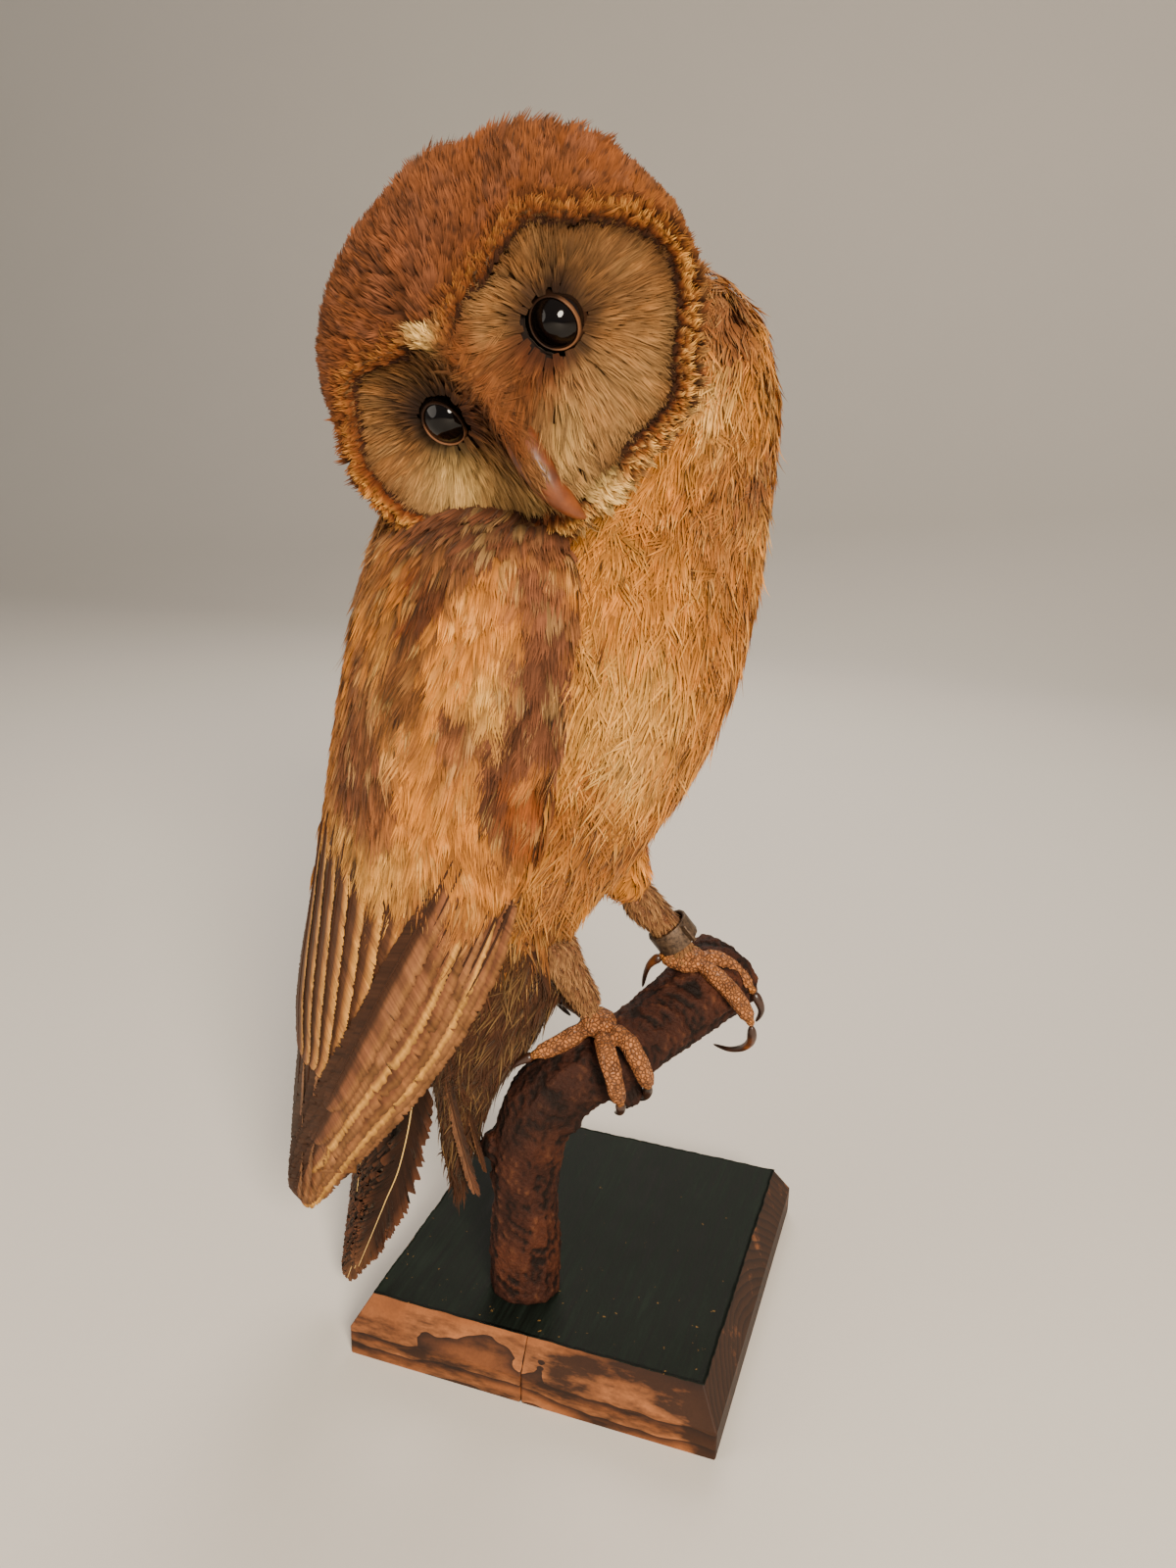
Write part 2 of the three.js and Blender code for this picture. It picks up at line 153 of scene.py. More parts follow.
def throughPoints(points, u):
    # a smooth line through the points, u from 0 to 1
    points = np.asarray(points, float)
    last = len(points) - 1
    t = np.clip(np.asarray(u, float), 0, 1) * last
    i = np.minimum(t.astype(int), last - 1)
    f = (t - i)[..., None]
    ends = np.vstack([2 * points[0] - points[1], points, 2 * points[-1] - points[-2]])
    a, b, c, d = ends[i], ends[i + 1], ends[i + 2], ends[i + 3]
    return 0.5 * (2 * b + (c - a) * f + (2 * a - 5 * b + 4 * c - d) * f ** 2 + (3 * b - a - 3 * c + d) * f ** 3)


# the folded wing: front edge, rear edge, half thickness and outward bow, shoulder to tip
wingRows = [
    ([6, 44, 288], [-48, 14, 290], 4, 9),
    ([10, 49, 272], [-58, 12, 268], 6.5, 13),
    ([8, 51.5, 240], [-68, 10, 236], 7, 18),
    ([3, 50, 208], [-75, 9, 202], 6.5, 18),
    ([-8, 46, 170], [-81, 10, 164], 5.5, 15),
    ([-25, 39, 134], [-88, 12, 124], 4.5, 11),
    ([-50, 31, 97], [-92, 14, 86], 3, 6),
    ([-76, 21, 62], [-94, 14, 56], 2, 2),
    ([-89, 17, 45], [-94, 14, 43], 1.2, 0.5),
]


def wingSpot(side, u, reach, outer=1.0, lift=0.0):
    # a spot on the wing: u from shoulder to tip, reach -1 at the rear edge to 1 at the front
    u, reach, outer, lift = np.broadcast_arrays(*(np.asarray(v, float) for v in (u, reach, outer, lift)))
    flip = np.array([1, side, 1])
    front = throughPoints([np.array(row[0]) * flip for row in wingRows], u)
    rear = throughPoints([np.array(row[1]) * flip for row in wingRows], u)
    sizes = throughPoints([[row[2], row[3]] for row in wingRows], u)
    chord = front - rear
    length = np.linalg.norm(chord, axis=-1, keepdims=True)
    across = chord / length
    outward = np.stack([across[..., 1], -across[..., 0], 0 * across[..., 0]], -1)
    outward = -side * unit(outward)
    inside = np.clip(1 - reach ** 2, 0, 1)[..., None]
    middle = (front + rear) / 2 + across * length / 2 * reach[..., None]
    rise = sizes[..., 1:] * inside + sizes[..., :1] * np.sqrt(inside) * outer[..., None]
    return middle + outward * (rise + lift[..., None])


# the face disc: distance from its middle to its rim, by angle above the owl's left
discAngles = [-90, -62, -33, 5, 40, 66, 90]
discReach = [28, 31, 40.5, 49.5, 42.5, 28.5, 20.5]
discUp = -6.0


def discRadius(turn):
    height = np.degrees(np.arcsin(np.clip(np.sin(turn), -1, 1)))
    keys = np.array(discAngles, float)
    reach = np.array(discReach, float)
    i = np.clip(np.searchsorted(keys, height, side="left"), 1, len(keys) - 1)
    s = smooth(0, 1, (height - keys[i - 1]) / (keys[i] - keys[i - 1]))
    return reach[i - 1] + (reach[i] - reach[i - 1]) * s


def discEdge(left, up):
    # 0 in the middle of the disc, 1 on its rim
    return np.hypot(left, up - discUp) / discRadius(np.arctan2(up - discUp, left))


def faceForward(left, up):
    edge = np.clip(discEdge(left, up), 0, 1.2)
    fall = 15 * (np.abs(left) / 49) ** 1.6
    dish = 7 * (1 - edge ** 4) * (1 - np.exp(-(left / 12) ** 2))
    return 4 - fall - dish + 6 * np.exp(-(left / 8) ** 2)


# ---------- camera, floor and light ----------

camera = {
    "place": (0.11493, -0.35188, 0.31648),
    "right": (0.94501633, 0.32642469, 0.01977496),
    "down": (0.12023027, -0.29056555, -0.94927148),
    "forward": (-0.30411973, 0.8994546, -0.31383532),
    "lens": 36 * 1225.18 / 1600,
}
lights = {
    "key": {"spot": (0.70, -1.0, 0.80), "size": 0.45, "power": 36, "colour": (1.0, 0.87, 0.70)},
    "fill": {"spot": (-0.95, -0.75, 0.55), "size": 0.9, "power": 6, "colour": (1.0, 0.90, 0.78)},
    "back": {"spot": (-0.2, 0.9, 0.9), "size": 0.7, "power": 9, "colour": (1.0, 0.92, 0.82)},
    "room": {"colour": (0.95, 0.90, 0.84), "strength": 0.34},
}


def setStage():
    lens = bpy.data.cameras.new("view")
    lens.sensor_fit = "AUTO"
    lens.sensor_width = 36
    lens.lens = camera["lens"]
    lens.clip_start = 0.01
    eye = bpy.data.objects.new("view", lens)
    place = Matrix.Identity(4)
    for row in range(3):
        place[row][0] = camera["right"][row]
        place[row][1] = -camera["down"][row]
        place[row][2] = -camera["forward"][row]
        place[row][3] = camera["place"][row]
    eye.matrix_world = place
    bpy.context.scene.collection.objects.link(eye)
    bpy.context.scene.camera = eye

    for name in ("key", "fill", "back"):
        facts = lights[name]
        lamp = bpy.data.lights.new(name, "AREA")
        lamp.shape = "DISK"
        lamp.size = facts["size"]
        lamp.energy = facts["power"]
        lamp.color = facts["colour"]
        holder = bpy.data.objects.new(name, lamp)
        aim = Vector((-0.01, -0.03, 0.2)) - Vector(facts["spot"])
        holder.location = facts["spot"]
        holder.rotation_euler = aim.to_track_quat("-Z", "Y").to_euler()
        bpy.context.scene.collection.objects.link(holder)

    world = bpy.data.worlds.new("room")
    world.use_nodes = True
    glow = world.node_tree.nodes["Background"]
    glow.inputs["Color"].default_value = (*lights["room"]["colour"], 1)
    glow.inputs["Strength"].default_value = lights["room"]["strength"]
    bpy.context.scene.world = world

    # a floor that curves up far behind the owl
    steps = 24
    edge = [(-1.6, 0.0)] + [(1.1 + 0.7 * math.sin(a), 0.7 - 0.7 * math.cos(a))
                            for a in np.linspace(0, math.pi / 2, steps)] + [(1.8, 3.0)]
    edge = [(y, z) for y, z in edge]
    verts = [(x, y, z) for y, z in edge for x in (-3.0, 3.0)]
    loops = [i for k in range(len(edge) - 1) for i in (2 * k, 2 * k + 1, 2 * k + 3, 2 * k + 2)]
    floor = meshFrom("floor", np.array(verts), np.array(loops), [4] * (len(edge) - 1))
    floor.data.materials.append(floorMaterial())


# ---------- material tools ----------

def newMaterial(name):
    material = bpy.data.materials.new(name)
    material.use_nodes = True
    tree = material.node_tree
    shader = tree.nodes["Principled BSDF"]
    return material, tree, shader


def addNode(tree, kind, **values):
    node = tree.nodes.new(kind)
    for key, value in values.items():
        if hasattr(node, key):
            setattr(node, key, value)
        else:
            node.inputs[key.replace("_", " ")].default_value = value
    return node


def join(tree, source, target):
    tree.links.new(source, target)


def rampOf(tree, stops, source):
    ramp = tree.nodes.new("ShaderNodeValToRGB")
    while len(ramp.color_ramp.elements) < len(stops):
        ramp.color_ramp.elements.new(0.5)
    for element, (place, colour) in zip(ramp.color_ramp.elements, stops):
        element.position = place
        element.color = (*paint(colour), 1) if isinstance(colour, str) else (colour, colour, colour, 1)
    join(tree, source, ramp.inputs["Fac"])
    return ramp.outputs["Color"]


def mixColours(tree, mode, share, first, second):
    node = addNode(tree, "ShaderNodeMix", data_type="RGBA", blend_type=mode)
    ports = (node.inputs[0], node.inputs[6], node.inputs[7])
    for port, value in zip(ports, (share, first, second)):
        if isinstance(value, bpy.types.NodeSocket):
            join(tree, value, port)
        elif isinstance(value, str):
            port.default_value = (*paint(value), 1)
        else:
            port.default_value = value
    return node.outputs[2]


def shaderGroup(name, inputs, outputs):
    group = bpy.data.node_groups.new(name, "ShaderNodeTree")
    for title, kind, value in inputs:
        socket = group.interface.new_socket(title, in_out="INPUT", socket_type="NodeSocket" + kind)
        socket.default_value = value
    for title, kind in outputs:
        group.interface.new_socket(title, in_out="OUTPUT", socket_type="NodeSocket" + kind)
    return group, group.nodes.new("NodeGroupInput"), group.nodes.new("NodeGroupOutput")


def placeGroup(tree, group, **values):
    node = tree.nodes.new("ShaderNodeGroup")
    node.node_tree = group
    for key, value in values.items():
        node.inputs[key].default_value = value
    return node


def mottleGroup():
    # breaks a colour up with two sizes of soft noise, and gives a height to match
    group, start, end = shaderGroup(
        "mottle",
        [("Colour", "Color", (0.5, 0.5, 0.5, 1)), ("Fine", "Float", 900.0), ("Broad", "Float", 90.0),
         ("Contrast", "Float", 0.35)],
        [("Colour", "Color"), ("Height", "Float")])
    spot = addNode(group, "ShaderNodeTexCoord")
    fine = addNode(group, "ShaderNodeTexNoise", Detail=3.0, Roughness=0.6)
    broad = addNode(group, "ShaderNodeTexNoise", Detail=2.0, Roughness=0.5)
    for noise, size in ((fine, "Fine"), (broad, "Broad")):
        join(group, spot.outputs["Object"], noise.inputs["Vector"])
        join(group, start.outputs[size], noise.inputs["Scale"])
    total = addNode(group, "ShaderNodeMath", operation="ADD")
    join(group, fine.outputs["Fac"], total.inputs[0])
    join(group, broad.outputs["Fac"], total.inputs[1])
    centred = addNode(group, "ShaderNodeMath", operation="SUBTRACT")
    join(group, total.outputs[0], centred.inputs[0])
    centred.inputs[1].default_value = 1.0
    scaled = addNode(group, "ShaderNodeMath", operation="MULTIPLY_ADD")
    join(group, centred.outputs[0], scaled.inputs[0])
    join(group, start.outputs["Contrast"], scaled.inputs[1])
    scaled.inputs[2].default_value = 1.0
    tone = addNode(group, "ShaderNodeVectorMath", operation="SCALE")
    join(group, start.outputs["Colour"], tone.inputs[0])
    join(group, scaled.outputs[0], tone.inputs["Scale"])
    join(group, tone.outputs["Vector"], end.inputs["Colour"])
    join(group, fine.outputs["Fac"], end.inputs["Height"])
    return group


mottle = mottleGroup()


def bumpInto(tree, shader, height, strength, distance):
    bump = addNode(tree, "ShaderNodeBump", Strength=strength, Distance=distance)
    join(tree, height, bump.inputs["Height"])
    join(tree, bump.outputs["Normal"], shader.inputs["Normal"])


def floorMaterial():
    material, tree, shader = newMaterial("pale_floor")
    speckle = placeGroup(tree, mottle, Colour=(0.66, 0.62, 0.57, 1), Fine=260.0, Broad=6.0, Contrast=0.03)
    join(tree, speckle.outputs["Colour"], shader.inputs["Base Color"])
    shader.inputs["Roughness"].default_value = 0.75
    return material


def plumageMaterial(name, roughness=0.8, sheen=0.06, contrast=0.35, fine=1500.0):
    material, tree, shader = newMaterial(name)
    tint = addNode(tree, "ShaderNodeAttribute", attribute_name="tint")
    tone = placeGroup(tree, mottle, Fine=fine, Broad=160.0, Contrast=contrast)
    join(tree, tint.outputs["Color"], tone.inputs["Colour"])
    join(tree, tone.outputs["Colour"], shader.inputs["Base Color"])
    shader.inputs["Roughness"].default_value = roughness
    shader.inputs["Sheen Weight"].default_value = sheen
    shader.inputs["Sheen Roughness"].default_value = 0.5
    shader.inputs["Sheen Tint"].default_value = (1.0, 0.86, 0.66, 1)
    shader.inputs["Specular IOR Level"].default_value = 0.14
    bumpInto(tree, shader, tone.outputs["Height"], 0.25, 0.0002)
    return material


def scaleMaterial():
    # small round scales over the toes, with dark lines between them
    material, tree, shader = newMaterial("toe_scales")
    tint = addNode(tree, "ShaderNodeAttribute", attribute_name="tint")
    spot = addNode(tree, "ShaderNodeTexCoord")
    border = addNode(tree, "ShaderNodeTexVoronoi", feature="DISTANCE_TO_EDGE", Scale=760.0)
    join(tree, spot.outputs["Object"], border.inputs["Vector"])
    line = rampOf(tree, [(0.0, 0.15), (0.22, 1.0)], border.outputs["Distance"])
    ground = mixColours(tree, "MULTIPLY", 0.9, tint.outputs["Color"], line)
    tone = placeGroup(tree, mottle, Fine=2200.0, Broad=240.0, Contrast=0.6)
    join(tree, ground, tone.inputs["Colour"])
    join(tree, tone.outputs["Colour"], shader.inputs["Base Color"])
    shader.inputs["Roughness"].default_value = 0.5
    shader.inputs["Specular IOR Level"].default_value = 0.3
    bumpInto(tree, shader, line, 0.8, 0.0005)
    return material


print("tools ready")
setStage()
print("camera, floor and light ready")


# ---------- the skin under the plumage ----------

skinFacts = {
    "swell": 0.5, "voxel": 1.7, "footVoxel": 0.55, "softening": 10,
    "depth": {"head": 2.4, "neck": 4.0, "trunk": 4.0, "wing": 2.2, "thigh": 2.6, "vent": 2.6},
    "thicknessShare": 0.3,
    "legThin": {"shank": 1.1, "toe": 0.65}, "cuticle": 1.5,
}
bodyNodes = ["head", "neck", "trunk", "wing_left", "wing_right", "thigh_left", "thigh_right", "vent"]
legNodes = ["shank_left", "foot_left", "shank_right", "foot_right"]


def meshArrays(mesh):
    verts = np.empty(len(mesh.vertices) * 3, np.float32)
    mesh.vertices.foreach_get("co", verts)
    normals = np.empty(len(mesh.vertices) * 3, np.float32)
    mesh.vertex_normals.foreach_get("vector", normals)
    return verts.reshape(-1, 3).astype(float), normals.reshape(-1, 3).astype(float)


def swollenCopy(name, swell):
    # a copy of a solid with its corners merged, a little larger all round
    piece = bpy.data.objects.new(name + "_copy", nodes[name].data.copy())
    bpy.context.scene.collection.objects.link(piece)
    weld = piece.modifiers.new("weld", "WELD")
    weld.merge_threshold = 0.00001
    applyModifiers(piece)
    verts, normals = meshArrays(piece.data)
    piece.data.vertices.foreach_set("co", (verts + normals * swell * mm).astype(np.float32).ravel())
    piece.data.update()
    return piece


def applyModifiers(piece):
    bpy.context.view_layer.update()
    graph = bpy.context.evaluated_depsgraph_get()
    final = bpy.data.meshes.new_from_object(piece.evaluated_get(graph))
    piece.modifiers.clear()
    piece.data = final


def joined(pieces, name):
    verts, loops, totals, offset = [], [], [], 0
    for piece in pieces:
        data = piece.data
        count = len(data.vertices)
        verts.append(meshArrays(data)[0])
        corners = np.empty(len(data.loops), np.int32)
        data.loops.foreach_get("vertex_index", corners)
        loops.append(corners + offset)
        sizes = np.empty(len(data.polygons), np.int32)
        data.polygons.foreach_get("loop_total", sizes)
        totals.append(sizes)
        offset += count
        bpy.data.objects.remove(piece)
    return meshFrom(name, np.concatenate(verts), np.concatenate(loops), np.concatenate(totals))


def meltTogether(names, voxel, softening, label, extra=()):
    body = joined([swollenCopy(name, skinFacts["swell"]) for name in names] + list(extra), label)
    remesh = body.modifiers.new("remesh", "REMESH")
    remesh.mode = "VOXEL"
    remesh.voxel_size = voxel * mm
    remesh.use_smooth_shade = True
    soften = body.modifiers.new("soften", "SMOOTH")
    soften.factor = 0.5
    soften.iterations = softening
    applyModifiers(body)
    keepLargest(body)
    return body


def keepLargest(piece):
    # only the big outer shells stay: islands of a few faces are left-over bubbles
    mesh = piece.data
    count = len(mesh.vertices)
    ends = np.empty(len(mesh.edges) * 2, np.int32)
    mesh.edges.foreach_get("vertices", ends)
    ends = ends.reshape(-1, 2)
    label = np.arange(count)
    while True:
        low = np.minimum(label[ends[:, 0]], label[ends[:, 1]])
        fresh = label.copy()
        np.minimum.at(fresh, ends[:, 0], low)
        np.minimum.at(fresh, ends[:, 1], low)
        fresh = fresh[fresh]
        if (fresh == label).all():
            break
        label = fresh
    names, sizes = np.unique(label, return_counts=True)
    kept = np.isin(label, names[sizes > 0.05 * count])
    corners = np.empty(len(mesh.loops), np.int32)
    mesh.loops.foreach_get("vertex_index", corners)
    totals = np.empty(len(mesh.polygons), np.int32)
    mesh.polygons.foreach_get("loop_total", totals)
    starts = np.concatenate([[0], np.cumsum(totals)[:-1]])
    goodFace = kept[corners[starts]]
    goodCorner = np.repeat(goodFace, totals)
    number = np.cumsum(kept) - 1
    verts = meshArrays(mesh)[0][kept]
    name = piece.name
    fresh = meshFrom(name + "_kept", verts, number[corners[goodCorner]], totals[goodFace])
    piece.data = fresh.data
    bpy.data.objects.remove(fresh)


def treeOf(mesh):
    verts = meshArrays(mesh)[0]
    polygons = [tuple(p.vertices) for p in mesh.polygons]
    return BVHTree.FromPolygons([Vector(v) for v in verts], polygons)


def nearestOn(tree, points):
    spots = np.empty((len(points), 3))
    normals = np.empty((len(points), 3))
    faces = np.empty(len(points), int)
    gaps = np.empty(len(points))
    for i, point in enumerate(points):
        spot, normal, face, gap = tree.find_nearest(point)
        spots[i], normals[i], faces[i], gaps[i] = spot, normal, face, gap
    return spots, normals, faces, gaps


print("melting the skin")
guide = meltTogether(bodyNodes, skinFacts["voxel"], skinFacts["softening"], "guide")
guideVerts, guideNormals = meshArrays(guide.data)
guideTree = treeOf(guide.data)

# which part of the owl each skin point belongs to
partTrees = {name: treeOf(nodes[name].data) for name in bodyNodes}
partGaps = np.stack([nearestOn(partTrees[name], guideVerts)[3] for name in bodyNodes], 1)
guidePart = partGaps.argmin(1)
partIndex = {name: i for i, name in enumerate(bodyNodes)}
print("skin points:", len(guideVerts))


def cuticles():
    # a small ball of skin where each claw leaves its toe
    spots, balls = {}, []
    for name in nodes:
        if name.startswith("claw"):
            verts = meshArrays(nodes[name].data)[0]
            foot = treeOf(nodes["foot_" + name.split("_")[-1]].data)
            gaps = nearestOn(foot, verts)[3]
            spots[name] = verts[gaps.argmin()]
            shape = bmesh.new()
            place = Matrix.Translation(Vector(spots[name]))
            bmesh.ops.create_icosphere(shape, subdivisions=2, radius=skinFacts["cuticle"] * mm, matrix=place)
            mesh = bpy.data.meshes.new(name + "_cuticle")
            shape.to_mesh(mesh)
            shape.free()
            ball = bpy.data.objects.new(name + "_cuticle", mesh)
            bpy.context.scene.collection.objects.link(ball)
            balls.append(ball)
    return spots, balls


clawSpots, clawBalls = cuticles()
legs = meltTogether(legNodes, skinFacts["footVoxel"], 2, "legs", clawBalls)
legVerts, legNormals = meshArrays(legs.data)
legGaps = {name: nearestOn(treeOf(nodes[name].data), legVerts)[3] / mm for name in legNodes}
onShank = smooth(-1.5, 2.0, np.minimum(legGaps["foot_left"], legGaps["foot_right"])
                 - np.minimum(legGaps["shank_left"], legGaps["shank_right"]))


def makeSkin(material, toeMaterial):
    depth = np.array([skinFacts["depth"][name.split("_")[0]] for name in bodyNodes])[guidePart]
    inward = np.full(len(guideVerts), 20.0)
    for i, (point, normal) in enumerate(zip(guideVerts, guideNormals)):
        start = point - normal * 0.00005
        hit = guideTree.ray_cast(Vector(start), Vector(-normal), 0.02)
        if hit[0] is not None:
            inward[i] = hit[3] / mm
    depth = np.minimum(depth, skinFacts["thicknessShare"] * inward)
    verts = guideVerts - guideNormals * depth[:, None] * mm
    thin = skinFacts["legThin"]["toe"] + onShank * (skinFacts["legThin"]["shank"] - skinFacts["legThin"]["toe"])
    gap = np.min([np.linalg.norm(legVerts - spot, axis=1) for spot in clawSpots.values()], axis=0) / mm
    thin = thin * smooth(1.2, 3.6, gap)
    legSkin = legVerts - legNormals * thin[:, None] * mm
    corners, totals = [], []
    for data, offset in ((guide.data, 0), (legs.data, len(verts))):
        part = np.empty(len(data.loops), np.int32)
        data.loops.foreach_get("vertex_index", part)
        corners.append(part + offset)
        sizes = np.empty(len(data.polygons), np.int32)
        data.polygons.foreach_get("loop_total", sizes)
        totals.append(sizes)
    bodyRoots, _ = plumageColours(guideVerts, guidePart)
    legTints = legColours(legVerts)
    # the body skin takes the plumage root colours at 0.6: painted shade where it shows between the feathers
    skin = meshFrom("skin", np.concatenate([verts, legSkin]), np.concatenate(corners), np.concatenate(totals),
                    tints=np.concatenate([bodyRoots * 0.6, legTints]))
    finishPiece(skin, material, "toe_scales", *bodyNodes, *legNodes)
    skin.data.materials.append(toeMaterial)
    slots = np.concatenate([np.zeros(len(totals[0]), np.int32), np.ones(len(totals[1]), np.int32)])
    skin.data.polygons.foreach_set("material_index", slots)
    print("skin faces:", len(skin.data.polygons))
    return skin


# ---------- markings ----------

tones = {name: paint(code) for name, code in {
    "gold": "#C77D2E", "paleGold": "#D49A48", "cream": "#E7BF73", "orange": "#87471A", "crown": "#74411D",
    "dusk": "#77472D", "deepDusk": "#46291A", "fleck": "#24140C", "rufous": "#66300F", "brown": "#3B2113",
    "faceGrey": "#6F4D2C", "facePale": "#9D7647", "faceDark": "#26160D", "ruff": "#966128", "ruffDark": "#381D0E",
    "legDown": "#855839", "toe": "#A86A3C", "toeDark": "#5E361C", "vent": "#44291A", "buff": "#AB7036",
}.items()}

# wing patches: u, reach, half sizes, tone, strength
wingPatches = [
    (0.03, 0.30, 0.07, 1.30, "dusk", 1.0), (0.06, 0.10, 0.05, 0.70, "deepDusk", 0.45),
    (0.24, 0.86, 0.20, 0.19, "dusk", 1.0), (0.22, 0.84, 0.10, 0.10, "deepDusk", 0.4),
    (0.15, 0.55, 0.05, 0.45, "dusk", 0.55), (0.20, 0.42, 0.10, 0.28, "gold", 1.0),
    (0.25, 0.62, 0.07, 0.14, "paleGold", 0.8),
    (0.22, -0.28, 0.07, 0.12, "paleGold", 0.85), (0.14, 0.02, 0.04, 0.17, "rufous", 0.95),
    (0.13, -0.30, 0.06, 0.25, "rufous", 0.5), (0.20, 0.05, 0.09, 0.16, "deepDusk", 0.75),
    (0.29, -0.35, 0.11, 0.30, "dusk", 0.9), (0.31, -0.30, 0.05, 0.16, "deepDusk", 0.4),
    (0.36, -0.15, 0.07, 0.30, "dusk", 0.7), (0.28, 0.50, 0.035, 0.22, "dusk", 0.95),
    (0.35, 0.45, 0.07, 0.30, "gold", 0.75), (0.36, 0.86, 0.05, 0.14, "deepDusk", 0.75),
    (0.38, 1.00, 0.06, 0.12, "orange", 1.0), (0.44, 0.75, 0.05, 0.30, "gold", 0.6),
    (0.46, 0.30, 0.05, 0.50, "brown", 0.35), (0.42, -0.10, 0.05, 0.50, "paleGold", 0.65),
    (0.52, 0.55, 0.07, 0.40, "dusk", 0.7),
]


def gridOfWing(side):
    u = np.linspace(0, 1, 90)
    turn = np.linspace(-math.pi, math.pi, 73)[:-1]
    uu, tt = np.meshgrid(u, turn, indexing="ij")
    reach = np.cos(tt)
    outer = np.sign(np.sin(tt))
    return fromBird(wingSpot(side, uu, reach, outer)).reshape(-1, 3), uu.ravel(), reach.ravel(), outer.ravel()


def closest(points, places):
    # index of the nearest place for each point, in blocks to save memory
    found = np.empty(len(points), int)
    squares = (places ** 2).sum(1)
    for start in range(0, len(points), 2000):
        block = points[start:start + 2000]
        found[start:start + 2000] = (squares[None] - 2 * block @ places.T).argmin(1)
    return found


wingGrids = {side: gridOfWing(side) for side in (-1, 1)}


def wingPlace(side, points):
    spots, u, reach, outer = wingGrids[side]
    i = closest(points, spots)
    return u[i], reach[i], outer[i]


def wingTints(points, side):
    u, reach, outer = wingPlace(side, points)
    warp = ripple(points, 0.018, 3) * 0.02
    colour = np.tile(tones["buff"], (len(points), 1))
    colour = blendInto(colour, tones["gold"], 0.5 + 0.5 * ripple(points, 0.03, 5))
    for centreU, centreR, halfU, halfR, tone, strength in wingPatches:
        away = np.hypot((u - centreU + warp) / halfU, (reach - centreR + 6 * warp) / halfR)
        colour = blendInto(colour, tones[tone], strength * smooth(1.25, 0.55, away))
    grain = ripple(points, 0.0032, 11)
    colour = blendInto(colour, tones["deepDusk"], 0.5 * smooth(0.1, 0.8, grain))
    colour = blendInto(colour, tones["cream"], 0.22 * smooth(0.3, 1.0, -grain))
    tips = blendInto(colour, tones["dusk"], 0.25 * smooth(-0.2, 0.8, ripple(points, 0.006, 17)))
    # roots a darker copy of the colour: painted shade deep in the coat
    return colour * 0.85, tips


def headTints(points):
    f, l, u = toHead(points).T
    colour = np.tile(tones["crown"], (len(points), 1))
    colour = blendInto(colour, tones["orange"], 0.55 * smooth(-0.3, 0.8, ripple(points, 0.02, 23)))
    freckle = ripple(points, 0.005, 29) + 0.5 * ripple(points, 0.012, 31)
    colour = blendInto(colour, tones["dusk"], 0.7 * smooth(-0.1, 0.7, freckle))
    colour = blendInto(colour, tones["dusk"], 0.5 * np.exp(-(((l - 5) / 16) ** 2 + ((u - 36) / 14) ** 2)))
    colour = blendInto(colour, tones["deepDusk"], 0.35 * smooth(0.3, 0.9, ripple(points, 0.0035, 35)))
    colour = blendInto(colour, tones["brown"], 0.35 * smooth(0.2, 0.9, ripple(points, 0.009, 33)))
    side = smooth(25, 50, np.abs(l)) * smooth(25, -15, u)
    colour = blendInto(colour, tones["ruff"], 0.55 * side)
    nape = smooth(-45, -70, f) * smooth(10, -20, u)
    colour = blendInto(colour, tones["gold"], 0.5 * nape)
    cheek = smooth(-12, -32, u) * smooth(8, 30, np.abs(l)) * smooth(-32, -12, f)
    colour = blendInto(colour, tones["facePale"], 0.7 * cheek)
    sockets = smooth(12, 8, np.hypot(np.abs(l) - 19, u - 1)) * smooth(-24, -12, f)
    colour = blendInto(colour, tones["faceDark"] * 0.6, sockets)
    inFace = smooth(1.0, 0.9, discEdge(l, u)) * smooth(-26, -18, f)
    colour = blendInto(colour, tones["faceGrey"] * 0.7, inFace * (1 - sockets))
    # roots a darker copy of the colour: painted shade deep in the coat
    return colour * 0.8, blendInto(colour, tones["dusk"], 0.15)


# body patches: forward, left and up in the owl's own frame, reach in mm, tone, strength
bodyPatches = [
    (26, -46, 240, 22, "paleGold", 0.75), (34, -40, 210, 20, "paleGold", 0.5), (30, -45, 268, 14, "gold", 0.9),
    (46, -14, 262, 16, "orange", 0.55), (52, -10, 235, 22, "gold", 0.8), (44, -20, 300, 15, "dusk", 0.35),
    (40, 22, 300, 22, "dusk", 0.65), (30, 34, 285, 20, "deepDusk", 0.45), (48, 12, 285, 14, "cream", 0.5),
    (38, 10, 318, 14, "cream", 0.45), (52, 14, 250, 18, "orange", 0.45), (44, 30, 235, 22, "dusk", 0.4),
    (10, -44, 205, 14, "orange", 0.75), (26, -24, 185, 18, "orange", 0.7), (36, -6, 195, 18, "gold", 0.7),
    (6, -36, 180, 12, "dusk", 0.5), (-20, 0, 320, 26, "orange", 0.5), (-45, 0, 250, 40, "dusk", 0.7),
    (39, -18, 338, 14, "dusk", 0.75), (46, -6, 318, 11, "deepDusk", 0.5), (47, -5, 300, 12, "dusk", 0.7),
    (43, -14, 284, 12, "dusk", 0.5), (34, 4, 262, 16, "dusk", 0.6), (32, 10, 232, 16, "dusk", 0.45),
    (42, -30, 318, 9, "cream", 0.5), (38, -34, 290, 8, "cream", 0.5), (30, -40, 222, 9, "cream", 0.4),
]


